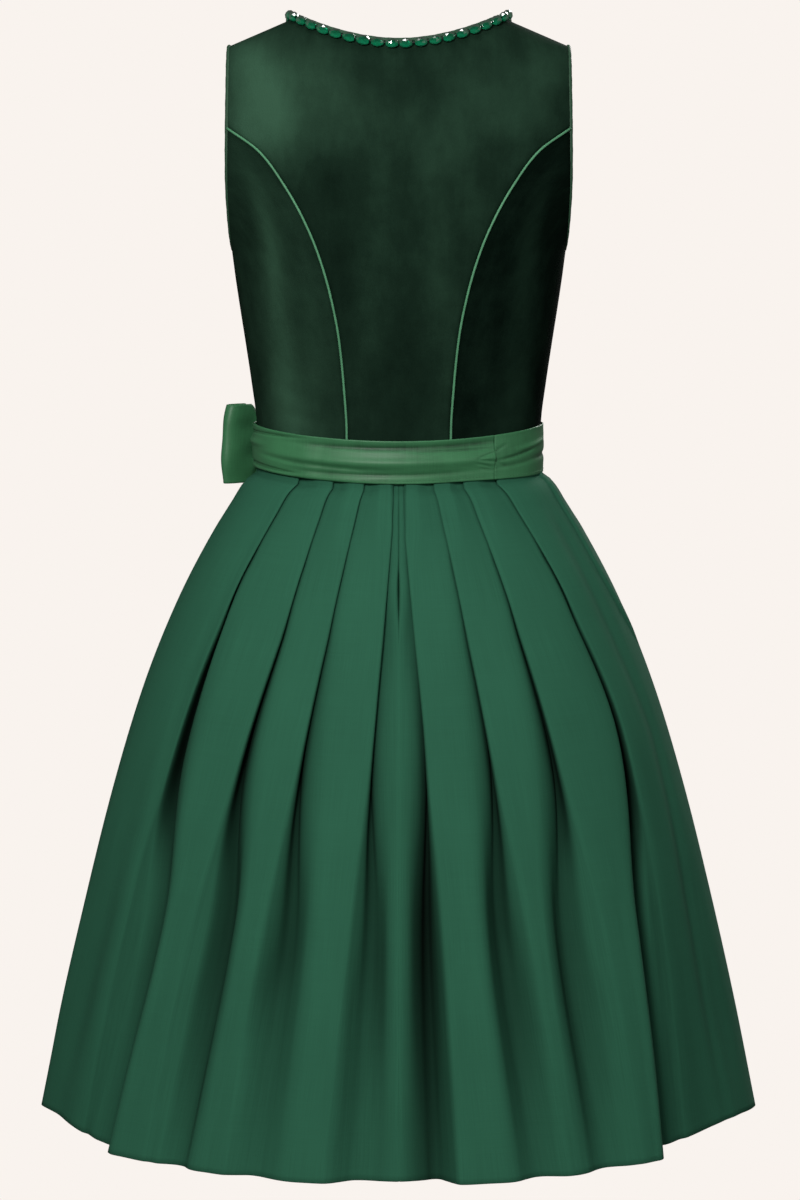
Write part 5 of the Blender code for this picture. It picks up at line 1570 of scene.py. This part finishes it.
def bow_loop(side):
    """Outer and inner points of a loop: a ribbon out from the knot and back, gathered where it's tied."""
    lines, steps = LOOP_NET
    centre, along, out = knot_frame()
    start = KNOT_SIZE[0] / 2 - 0.004
    turn = math.pi * np.linspace(0, 1, steps)
    spread = np.sin(turn)
    reach = start + (LOOP_LENGTH + 0.003) * spread ** 0.75
    swell = mix(LOOP_GAPE_KNOT, LOOP_GAPE, spread ** 0.9)
    flat = np.column_stack((side * reach, -np.cos(turn) * swell - SATIN_WALL))
    step = np.gradient(flat, axis=0)
    normal = np.column_stack((step[:, 1], -step[:, 0]))
    normal /= np.linalg.norm(normal, axis=1, keepdims=True)
    if side < 0:
        normal = -normal
    rows = [[], []]
    for k in np.linspace(-1, 1, lines):
        half = mix(LOOP_HEIGHT_KNOT, LOOP_HEIGHT_END, ramp(0.0, 0.36, spread)) / 2
        gathered = 1 - ramp(0.15, 0.85, spread)
        pleat = 0.0012 * gathered * np.sin(9.0 * k + 0.7 * side) + 0.0012 * spread * np.sin(2.6 * k + side)
        pleat = pleat + 0.0008 * spread * np.sin(5.0 * k + 3.0 * spread + 1.0)
        lean = spread ** 2 * (-0.0035 * k - 0.0020 * k * k)
        for layer, offset in enumerate((SATIN_WALL / 2, -SATIN_WALL / 2)):
            place = flat + normal * (offset + pleat)[:, None]
            a = place[:, 0] + side * lean
            row = centre + along * a[:, None] + out * place[:, 1:2]
            row[:, 2] += k * half
            rows[layer].append(row)
    return np.array(rows[0]), np.array(rows[1])


# folds of the knot's cloth: place along it, slant, half-width and depth
KNOT_FOLDS = (
    (-0.009, 0.10, 0.0016, 0.0011),
    (-0.002, -0.06, 0.0020, 0.0014),
    (0.005, 0.12, 0.0014, 0.0010),
    (0.011, -0.05, 0.0016, 0.0008),
)


def power(value, exponent):
    """Power of a number's size, with its sign kept."""
    return np.sign(value) * np.abs(value) ** exponent


def make_knot():
    """The wrapped knot: the tie's cloth pulled over the loops, with the folds that run up it."""
    centre, along, out = knot_frame()
    levels, turns = KNOT_NET
    wide, deep, tall = KNOT_SIZE
    turn = 2 * math.pi * np.arange(turns) / turns
    rise = np.linspace(-math.pi / 2, math.pi / 2, levels)[1:-1]
    round_top = power(np.cos(rise), 0.55)[:, None]
    a = wide / 2 * power(np.cos(turn), 0.75)[None, :] * round_top
    o = deep / 2 * power(np.sin(turn), 0.75)[None, :] * round_top
    z = np.broadcast_to(tall / 2 * power(np.sin(rise), 0.85)[:, None], a.shape)
    pull = 1 - 0.05 * np.cos(z / tall * 2 * math.pi)
    sunk = np.zeros_like(a)
    for at, slant, width, depth in KNOT_FOLDS:
        sunk += depth * bump_of(a - at - slant * z, width)
    o = o - np.sign(o) * sunk * np.minimum(1.0, np.abs(o) / 0.004)
    up = np.array((0.0, 0.0, 1.0))
    points = centre + along * (a * pull)[..., None] + out * o[..., None] + up * z[..., None]
    poles = centre + np.array((-up, up)) * (tall / 2 - 0.0004)
    grid = np.arange((levels - 2) * turns).reshape(-1, turns)
    after = np.roll(grid, -1, axis=1)
    faces = np.stack((grid[:-1], after[:-1], after[1:], grid[1:]), axis=-1).reshape(-1, 4).tolist()
    faces += capped(grid[0, ::-1], grid.size)
    faces += capped(grid[-1], grid.size + 1)
    every = np.vstack((points.reshape(-1, 3), poles))
    knot = new_mesh("satin_knot", every, faces, np.stack((every @ along, every[:, 2]), axis=-1))
    bpy.ops.object.select_all(action="DESELECT")
    bpy.context.view_layer.objects.active = knot
    knot.select_set(True)
    bpy.ops.object.mode_set(mode="EDIT")
    bpy.ops.mesh.select_all(action="SELECT")
    bpy.ops.mesh.normals_make_consistent(inside=False)
    bpy.ops.object.mode_set(mode="OBJECT")
    dress_in(knot, satin_finish("bow"), "satin", "bow_knot")


def tail_net(which):
    """Outer and inner points of a hanging end of the tie, over the apron."""
    start, end, lift = TAILS[which]
    front = which == "front"
    pleat_turn, fold_turn, lean = (1.0, 0.4, 1) if front else (0.2, 2.0, -1)
    rows, columns = TAIL_NET
    across = np.linspace(-0.5, 0.5, columns)
    outer = []
    inner = []
    for down in np.linspace(0, 1, rows):
        z = BAND_TOP_Z - BAND_HEIGHT - TAIL_DROP - TAIL_LENGTH * down
        share = min(1.0, max(0.0, (WAIST_Z - z) / SKIRT_LENGTH))
        widened = mix(TAIL_WIDTH_TOP, TAIL_WIDTH_END, float(ramp(0.0, 0.6, down)))
        width = widened * 90.0 / ring_at(share, True).run[-1]
        here = KNOT_ANGLE + mix(start, end, down) + across * width
        pleats = 0.0016 * (1 - float(ramp(0.10, 0.60, down))) * np.cos(16.0 * across + pleat_turn)
        fold = 0.0022 * float(ramp(0.1, 0.5, down)) * np.cos(6.6 * across + 1.2 * down + fold_turn)
        crest = np.array([apron_crest(float(a), share) for a in here])
        height = crest + lift + pleats + fold + 0.0010
        base, out = ring_frame(here, share)
        low = base + out * height[:, None]
        high = low + out * SATIN_WALL
        low[:, 2] = z - 0.012 * (across + 0.5) * lean * down ** 3
        high[:, 2] = low[:, 2]
        inner.append(low)
        outer.append(high)
    return np.array(outer), np.array(inner)


def make_bow():
    satin = satin_finish("bow")
    for side, word in ((1, "side"), (-1, "front")):
        outer, inner = bow_loop(side)
        declare(cloth(f"satin_loop_{word}", outer, inner), satin, "satin", f"bow_loop_{word}")
    make_knot()
    for which in TAILS:
        outer, inner = tail_net(which)
        declare(cloth(f"satin_tail_{which}", outer, inner), satin, "satin", f"tie_tail_{which}")


# ---------------- finishes
def nodes_of(name):
    """A new material, its nodes and its shader."""
    made = bpy.data.materials.new(name)
    made.use_nodes = True
    tree = made.node_tree
    return made, tree, tree.nodes["Principled BSDF"]


def add(tree, kind, **values):
    """A node with its settings, and with its unlinked sockets where a name starts with in_."""
    node = tree.nodes.new(kind)
    for key, value in values.items():
        if key.startswith("in_"):
            node.inputs[key[3:].replace("_", " ")].default_value = value
        else:
            setattr(node, key, value)
    return node


def calculate(tree, operation, a, b=None):
    node = tree.nodes.new("ShaderNodeMath")
    node.operation = operation
    for socket, value in zip(node.inputs, (a, b)):
        if value is None:
            continue
        if isinstance(value, (int, float)):
            socket.default_value = value
        else:
            tree.links.new(value, socket)
    return node.outputs[0]


def blend(tree, *parts):
    """Sum of values, each times its weight."""
    total = None
    for value, weight in parts:
        share = calculate(tree, "MULTIPLY", value, weight)
        total = share if total is None else calculate(tree, "ADD", total, share)
    return total


def shades(tree, factor, *stops):
    """Colour ramp read by a factor."""
    node = tree.nodes.new("ShaderNodeValToRGB")
    bar = node.color_ramp
    while len(bar.elements) < len(stops):
        bar.elements.new(0.5)
    for element, (at, colour) in zip(bar.elements, stops):
        element.position = at
        element.color = (*colour, 1.0)
    tree.links.new(factor, node.inputs[0])
    return node.outputs[0]


def cut_and_nap_shade(tree):
    """Places on the piece's flat cut, and the marks it carries at each point: the velvet's lie of pile with
    painted sheen and shade, the skirt's painted fold shade, or the bands' painted trough shade and highlight.
    """
    plan = add(tree, "ShaderNodeUVMap", uv_map="cut").outputs[0]
    return plan, add(tree, "ShaderNodeAttribute", attribute_name="nap_and_shade").outputs["Fac"]


def stretched_noise(tree, source, scale, size, detail=3.0, rough=0.55):
    """Noise on stretched coordinates."""
    fit = add(tree, "ShaderNodeMapping", in_Scale=scale)
    tree.links.new(source, fit.inputs["Vector"])
    noise = add(tree, "ShaderNodeTexNoise", in_Scale=size, in_Detail=detail, in_Roughness=rough)
    tree.links.new(fit.outputs[0], noise.inputs["Vector"])
    return noise.outputs["Fac"]


def solid_noise(tree, size):
    """Noise through the piece, on its Object coordinates."""
    noise = add(tree, "ShaderNodeTexNoise", in_Scale=size, in_Detail=2.0)
    tree.links.new(add(tree, "ShaderNodeTexCoord").outputs["Object"], noise.inputs["Vector"])
    return noise.outputs["Fac"]


def bump(tree, shader, height, distance, strength):
    node = add(tree, "ShaderNodeBump", in_Strength=strength, in_Distance=distance)
    tree.links.new(height, node.inputs["Height"])
    tree.links.new(node.outputs[0], shader.inputs["Normal"])


def face(tree, shader, colour, rough, specular, **sockets):
    """Colour of a shader from a node, and its unlinked sockets."""
    tree.links.new(colour, shader.inputs["Base Color"])
    shader.inputs["Roughness"].default_value = rough
    shader.inputs["Specular IOR Level"].default_value = specular
    for key, value in sockets.items():
        shader.inputs[key.replace("_", " ")].default_value = value


def scaled(colour, gain):
    return tuple(c * gain for c in colour)


def grey(level):
    return (level, level, level)


def velvet_finish():
    """Pile that lies in brushed patches, dark where it stands up and lighter where it leans over, with the
    painted sheen and painted shade that its marks carry.
    """
    made, tree, shader = nodes_of("velvet")
    colours = bpy.context.scene.dirndl_colours
    plan, nap_and_shade = cut_and_nap_shade(tree)
    upright = stretched_noise(tree, plan, (1.0, 0.45, 1.0), 46.0, 5.0, 0.66)
    level = stretched_noise(tree, plan, (0.70, 1.0, 1.0), 24.0, 4.0, 0.60)
    fine = stretched_noise(tree, plan, (1.0, 0.6, 1.0), 700.0, 2.0, 0.7)
    brushed = blend(tree, (upright, 0.38), (level, 0.28), (fine, 0.12))
    # the marks add painted sheen and painted shade to the pile's random lie
    lean = calculate(tree, "ADD", calculate(tree, "SUBTRACT", brushed, 0.395), nap_and_shade)
    dark, light = tuple(colours.velvet_dark), tuple(colours.velvet_light)
    middle = tuple(mix(d, l, 0.19) for d, l in zip(dark, light))
    pile = shades(tree, lean, (0.0, dark), (0.34, middle), (0.62, scaled(light, 0.50)), (1.0, light))
    face(tree, shader, pile, 0.95, 0.02)
    bump(tree, shader, blend(tree, (fine, 0.5), (brushed, 1.0)), 0.0006, 0.5)
    return made


# painted shade: how dark the twill is coloured by how closed in its folds are
FOLD_SHADE = ((0.0, 1.0), (0.16, 0.88), (0.34, 0.66), (0.58, 0.30), (0.95, 0.05))


def twill_finish():
    """Fine twill with a faint slanting rib, threads of uneven tone, and painted shade in its folds."""
    made, tree, shader = nodes_of("twill")
    colour = tuple(bpy.context.scene.dirndl_colours.twill)
    plan, depth = cut_and_nap_shade(tree)
    parts = add(tree, "ShaderNodeSeparateXYZ")
    tree.links.new(plan, parts.inputs[0])
    slant = calculate(tree, "ADD", parts.outputs[0], parts.outputs[1])
    ribs = calculate(tree, "SINE", calculate(tree, "MULTIPLY", slant, 2 * math.pi / settings().twill_rib))
    warp = stretched_noise(tree, plan, (1.0, 0.010, 1.0), 1500.0, 2.0, 0.6)
    weft = stretched_noise(tree, plan, (0.012, 1.0, 1.0), 1500.0, 2.0, 0.6)
    cloud = stretched_noise(tree, plan, (1.0, 0.5, 1.0), 14.0, 3.0, 0.5)
    tone = blend(tree, (warp, 0.40), (weft, 0.22), (cloud, 0.28), (ribs, 0.035))
    dyed = shades(tree, tone, (0.20, scaled(colour, 0.78)), (0.46, colour), (0.72, scaled(colour, 1.20)))
    # painted shade: darker where the folds are closed in and turned from the light
    folded = shades(tree, depth, *((at, grey(level)) for at, level in FOLD_SHADE))
    shaded = add(tree, "ShaderNodeVectorMath", operation="MULTIPLY")
    tree.links.new(dyed, shaded.inputs[0])
    tree.links.new(folded, shaded.inputs[1])
    face(tree, shader, shaded.outputs[0], 0.90, 0.08)
    bump(tree, shader, blend(tree, (ribs, 0.30), (warp, 0.5)), 0.00012, 0.8)
    return made


def satin_finish(use):
    """Soft satin: a smooth face whose fine threads run along the piece, with painted shade in its troughs and
    a painted highlight, duller and darker as a binding.
    """
    name = f"satin_{use}"
    if name in bpy.data.materials:
        return bpy.data.materials[name]
    made, tree, shader = nodes_of(name)
    colours = bpy.context.scene.dirndl_colours
    colour = tuple(colours.piping if use in ("piping", "binding") else colours.satin)
    dullness = 0.40
    if use == "binding":
        colour = scaled(colour, 0.26)
        dullness = 0.55
    plan, trough = cut_and_nap_shade(tree)
    threads = stretched_noise(tree, plan, (0.03, 1.0, 1.0), 2600.0, 2.0, 0.6)
    across = stretched_noise(tree, plan, (1.0, 0.05, 1.0), 700.0, 2.0, 0.6)
    cloud = stretched_noise(tree, plan, (0.6, 1.0, 1.0), 40.0, 3.0, 0.5)
    # the marks darken the tone as painted shade in troughs and lighten it as a painted highlight
    tone = blend(tree, (threads, 0.30), (across, 0.24), (cloud, 0.40), (trough, -0.30))
    sheen = shades(tree, tone, (0.10, scaled(colour, 0.26)), (0.32, scaled(colour, 0.74)),
                   (0.47, colour), (0.70, scaled(colour, 1.22)))
    face(tree, shader, sheen, dullness, 0.30)
    rough = calculate(tree, "ADD", calculate(tree, "MULTIPLY", cloud, 0.14), dullness)
    tree.links.new(rough, shader.inputs["Roughness"])
    bump(tree, shader, blend(tree, (threads, 1.0), (across, 0.8)), 0.00006, 0.7)
    return made


def glass_finish():
    """Emerald glass, with painted light in its low facets and painted shade on its upper ones, and a little
    cloudy.
    """
    name = "cut_glass"
    if name in bpy.data.materials:
        return bpy.data.materials[name]
    made, tree, shader = nodes_of(name)
    colour = tuple(bpy.context.scene.dirndl_colours.glass)
    veins = solid_noise(tree, 260.0)
    facing = add(tree, "ShaderNodeSeparateXYZ")
    tree.links.new(add(tree, "ShaderNodeNewGeometry").outputs["Normal"], facing.inputs[0])
    # painted light: facets facing down are coloured lighter, facets facing up darker
    low = calculate(tree, "SUBTRACT", 1.0, facing.outputs[2])
    painted_glow = shades(tree, blend(tree, (low, 0.40), (veins, 0.20)), (0.18, scaled(colour, 0.10)),
                  (0.50, scaled(colour, 0.50)), (0.80, scaled(colour, 1.40)))
    face(tree, shader, painted_glow, 0.04, 0.32, IOR=1.56, Transmission_Weight=0.35)
    return made


def thread_finish(of="satin"):
    """Matt sewing thread, in the shade of the satin or nearly black between the beads."""
    name = f"{of}_thread"
    if name in bpy.data.materials:
        return bpy.data.materials[name]
    made, tree, shader = nodes_of(name)
    colours = bpy.context.scene.dirndl_colours
    colour = scaled(tuple(colours.satin), 1.25) if of == "satin" else tuple(colours.velvet_dark)
    twist = solid_noise(tree, 1800.0)
    face(tree, shader, shades(tree, twist, (0.35, scaled(colour, 0.70)), (0.65, colour)), 0.60, 0.5)
    bump(tree, shader, twist, 0.0001, 0.5)
    return made


def declare(piece, material, slot, node):
    """Dresses a sheet: gives it its cloth and puts it in the place of the frame's nodes."""
    dress_in(piece, material, slot, node)


# ---------------- stage
def seen_or_light(tree, kind, stage):
    """The backdrop's full shade where it's looked at, and a weaker one for the light it gives."""
    choice = tree.nodes.new("ShaderNodeMixShader")
    tree.links.new(tree.nodes.new("ShaderNodeLightPath").outputs["Is Camera Ray"], choice.inputs[0])
    for socket, strength in ((1, stage.sky), (2, 1.0)):
        source = add(tree, kind, in_Color=(*stage.backdrop, 1.0), in_Strength=strength)
        tree.links.new(source.outputs[0], choice.inputs[socket])
    return choice.outputs[0]


def aim(item, place, target):
    """Puts a lamp or a camera in its place and points it at a target."""
    item.location = place
    item.rotation_euler = (Vector(target) - Vector(place)).to_track_quat("-Z", "Y").to_euler()
    bpy.context.scene.collection.objects.link(item)


def make_floor(stage):
    bpy.ops.object.select_all(action="DESELECT")
    bpy.ops.mesh.primitive_plane_add(size=FLOOR_SIZE, location=(0, 0, stage.floor_height))
    floor = bpy.context.object
    floor.name = "studio_floor"
    made, tree, shader = nodes_of("pale_floor")
    tree.nodes.remove(shader)
    surface = seen_or_light(tree, "ShaderNodeEmission", stage)
    tree.links.new(surface, tree.nodes["Material Output"].inputs["Surface"])
    floor.data.materials.append(made)


def make_sky(stage):
    world = bpy.data.worlds.new("studio")
    world.use_nodes = True
    tree = world.node_tree
    tree.nodes.clear()
    out = tree.nodes.new("ShaderNodeOutputWorld")
    tree.links.new(seen_or_light(tree, "ShaderNodeBackground", stage), out.inputs[0])
    bpy.context.scene.world = world


def make_lamps(stage):
    for name, place, target, size, power, tint in LAMPS:
        data = bpy.data.lights.new(name, "AREA")
        data.shape = "DISK"
        data.size = size
        data.energy = power * stage.light
        data.color = tint
        aim(bpy.data.objects.new(name, data), place, target)


def make_camera():
    data = bpy.data.cameras.new("camera")
    data.lens = CAMERA_LENS
    data.sensor_fit = "VERTICAL"
    data.sensor_height = CAMERA_SENSOR
    data.shift_x = CAMERA_SHIFT
    camera = bpy.data.objects.new("camera", data)
    aim(camera, CAMERA_PLACE, CAMERA_TARGET)
    bpy.context.scene.camera = camera


def make_stage():
    stage = bpy.context.scene.dirndl_stage
    make_floor(stage)
    make_sky(stage)
    make_lamps(stage)
    make_camera()
    bpy.context.scene.view_settings.view_transform = "Standard"


# ---------------- what a user may change
class DirndlColours(bpy.types.PropertyGroup):
    velvet_dark: FloatVectorProperty(name="Velvet, upright", description="Velvet whose pile stands up",
                                     subtype="COLOR", size=3, min=0, max=1, default=(0.0020, 0.0060, 0.0038))
    velvet_light: FloatVectorProperty(name="Velvet, brushed", description="Velvet whose pile leans over",
                                      subtype="COLOR", size=3, min=0, max=1, default=(0.036, 0.094, 0.057))
    twill: FloatVectorProperty(name="Skirt", description="Twill of the skirt",
                               subtype="COLOR", size=3, min=0, max=1, default=(0.026, 0.119, 0.070))
    satin: FloatVectorProperty(name="Satin", description="Satin of the apron, its band and its bow",
                               subtype="COLOR", size=3, min=0, max=1, default=(0.041, 0.168, 0.072))
    piping: FloatVectorProperty(name="Piping", description="Satin of the seam cords and bound edges",
                                subtype="COLOR", size=3, min=0, max=1, default=(0.085, 0.270, 0.140))
    glass: FloatVectorProperty(name="Beads", description="Glass of the beads",
                               subtype="COLOR", size=3, min=0, max=1, default=(0.004, 0.330, 0.145))


class DirndlSizes(bpy.types.PropertyGroup):
    bead_length: FloatProperty(name="Bead length", description="Along the string", subtype="DISTANCE",
                               default=0.0119, min=0.004, max=0.013)
    bead_width: FloatProperty(name="Bead width", description="Across the string", subtype="DISTANCE",
                              default=0.0094, min=0.004, max=0.012)
    bead_pitch: FloatProperty(name="Bead spacing", description="From bead to bead along the string",
                              subtype="DISTANCE", default=BEAD_PITCH, min=0.008, max=0.030)
    bead_inset: FloatProperty(name="Bead inset", description="From the neck edge to the string",
                              subtype="DISTANCE", default=BEAD_INSET, min=0.004, max=0.020)
    piping_width: FloatProperty(name="Piping width", description="Across the cord in a seam",
                                subtype="DISTANCE", default=0.0023, min=0.001, max=0.005)
    binding_width: FloatProperty(name="Binding width", description="Of the bound armholes and neckline",
                                 subtype="DISTANCE", default=0.0042, min=0.002, max=0.008)
    stitch_pitch: FloatProperty(name="Stitch spacing", description="From stitch to stitch",
                                subtype="DISTANCE", default=0.0034, min=0.002, max=0.010)
    twill_rib: FloatProperty(name="Twill rib", description="From rib to rib of the skirt's cloth",
                             subtype="DISTANCE", default=0.0011, min=0.0005, max=0.004)
    crease_depth: FloatProperty(name="Creases", description="Depth of the cloth's soft creases and folds",
                                subtype="FACTOR", default=1.0, min=0.0, max=1.5)
    apron_gathers: IntProperty(name="Apron folds", description="Hanging folds across the apron",
                               default=APRON_GATHERS, min=3, max=11)


class DirndlStage(bpy.types.PropertyGroup):
    floor_height: FloatProperty(name="Floor", description="Height of the floor below the shoulders",
                                subtype="DISTANCE", default=-1.42)
    backdrop: FloatVectorProperty(name="Backdrop", description="Colour of the floor and of what is behind",
                                  subtype="COLOR", size=3, min=0, max=1, default=(0.947, 0.896, 0.855))
    sky: FloatProperty(name="Fill light", description="Light from all round", default=0.12, min=0.0, max=2.0)
    light: FloatProperty(name="Lamps", description="Strength of all the lamps", subtype="FACTOR",
                         default=1.0, min=0.0, max=3.0)


def settings():
    return bpy.context.scene.dirndl_sizes


class DIRNDL_OT_bodice(bpy.types.Operator):
    """Cuts and sews the seven velvet panels of the bodice"""
    bl_idname = "dirndl.bodice"
    bl_label = "Velvet bodice"

    def execute(self, context):
        make_bodice()
        return {"FINISHED"}


class DIRNDL_OT_pipings(bpy.types.Operator):
    """Lays satin cord in both back seams"""
    bl_idname = "dirndl.pipings"
    bl_label = "Seam piping"

    def execute(self, context):
        make_pipings()
        return {"FINISHED"}


class DIRNDL_OT_bound_edges(bpy.types.Operator):
    """Binds the armholes and the neckline with satin"""
    bl_idname = "dirndl.bound_edges"
    bl_label = "Bound edges"

    def execute(self, context):
        make_bound_edges()
        return {"FINISHED"}


class DIRNDL_OT_beads(bpy.types.Operator):
    """Cuts one glass bead and strings its copies round the neckline"""
    bl_idname = "dirndl.beads"
    bl_label = "Glass beads"

    def execute(self, context):
        make_beads()
        return {"FINISHED"}


class DIRNDL_OT_skirt(bpy.types.Operator):
    """Pleats the four twill quarters of the skirt"""
    bl_idname = "dirndl.skirt"
    bl_label = "Pleated skirt"

    def execute(self, context):
        make_skirt()
        return {"FINISHED"}


class DIRNDL_OT_apron(bpy.types.Operator):
    """Gathers the satin apron over the skirt's front"""
    bl_idname = "dirndl.apron"
    bl_label = "Satin apron"

    def execute(self, context):
        make_apron()
        return {"FINISHED"}


class DIRNDL_OT_bands(bpy.types.Operator):
    """Lays the apron's waistband and its tie round the waist"""
    bl_idname = "dirndl.bands"
    bl_label = "Waistband and tie"

    def execute(self, context):
        make_bands()
        return {"FINISHED"}


class DIRNDL_OT_bow(bpy.types.Operator):
    """Ties the bow with its knot, two loops and two tails"""
    bl_idname = "dirndl.bow"
    bl_label = "Bow"

    def execute(self, context):
        make_bow()
        return {"FINISHED"}


class DIRNDL_OT_stage(bpy.types.Operator):
    """Sets up the floor, the lamps and the camera"""
    bl_idname = "dirndl.stage"
    bl_label = "Studio"

    def execute(self, context):
        make_stage()
        return {"FINISHED"}


class DIRNDL_PT_panel(bpy.types.Panel):
    """The pieces of the dress and what can be changed about them"""
    bl_idname = "DIRNDL_PT_panel"
    bl_label = "Dirndl dress"
    bl_space_type = "VIEW_3D"
    bl_region_type = "UI"
    bl_category = "Dirndl"

    def draw(self, context):
        layout = self.layout
        for kind in PIECES:
            layout.operator(kind.bl_idname)
        for group in GROUPS:
            held = getattr(context.scene, group)
            box = layout.box()
            for key in held.__annotations__:
                box.prop(held, key)


PIECES = (DIRNDL_OT_bodice, DIRNDL_OT_pipings, DIRNDL_OT_bound_edges, DIRNDL_OT_beads, DIRNDL_OT_skirt,
          DIRNDL_OT_apron, DIRNDL_OT_bands, DIRNDL_OT_bow, DIRNDL_OT_stage)
GROUPS = {"dirndl_colours": DirndlColours, "dirndl_sizes": DirndlSizes, "dirndl_stage": DirndlStage}


def register():
    for kind in (*GROUPS.values(), *PIECES, DIRNDL_PT_panel):
        bpy.utils.register_class(kind)
    for name, kind in GROUPS.items():
        setattr(bpy.types.Scene, name, PointerProperty(type=kind))


def unregister():
    for name in GROUPS:
        delattr(bpy.types.Scene, name)
    for kind in reversed((*GROUPS.values(), *PIECES, DIRNDL_PT_panel)):
        bpy.utils.unregister_class(kind)


def main():
    register()
    bpy.ops.dirndl.bodice()
    bpy.ops.dirndl.pipings()
    bpy.ops.dirndl.bound_edges()
    bpy.ops.dirndl.beads()
    bpy.ops.dirndl.skirt()
    bpy.ops.dirndl.apron()
    bpy.ops.dirndl.bands()
    bpy.ops.dirndl.bow()
    bpy.ops.dirndl.stage()


if __name__ == "__main__":
    main()
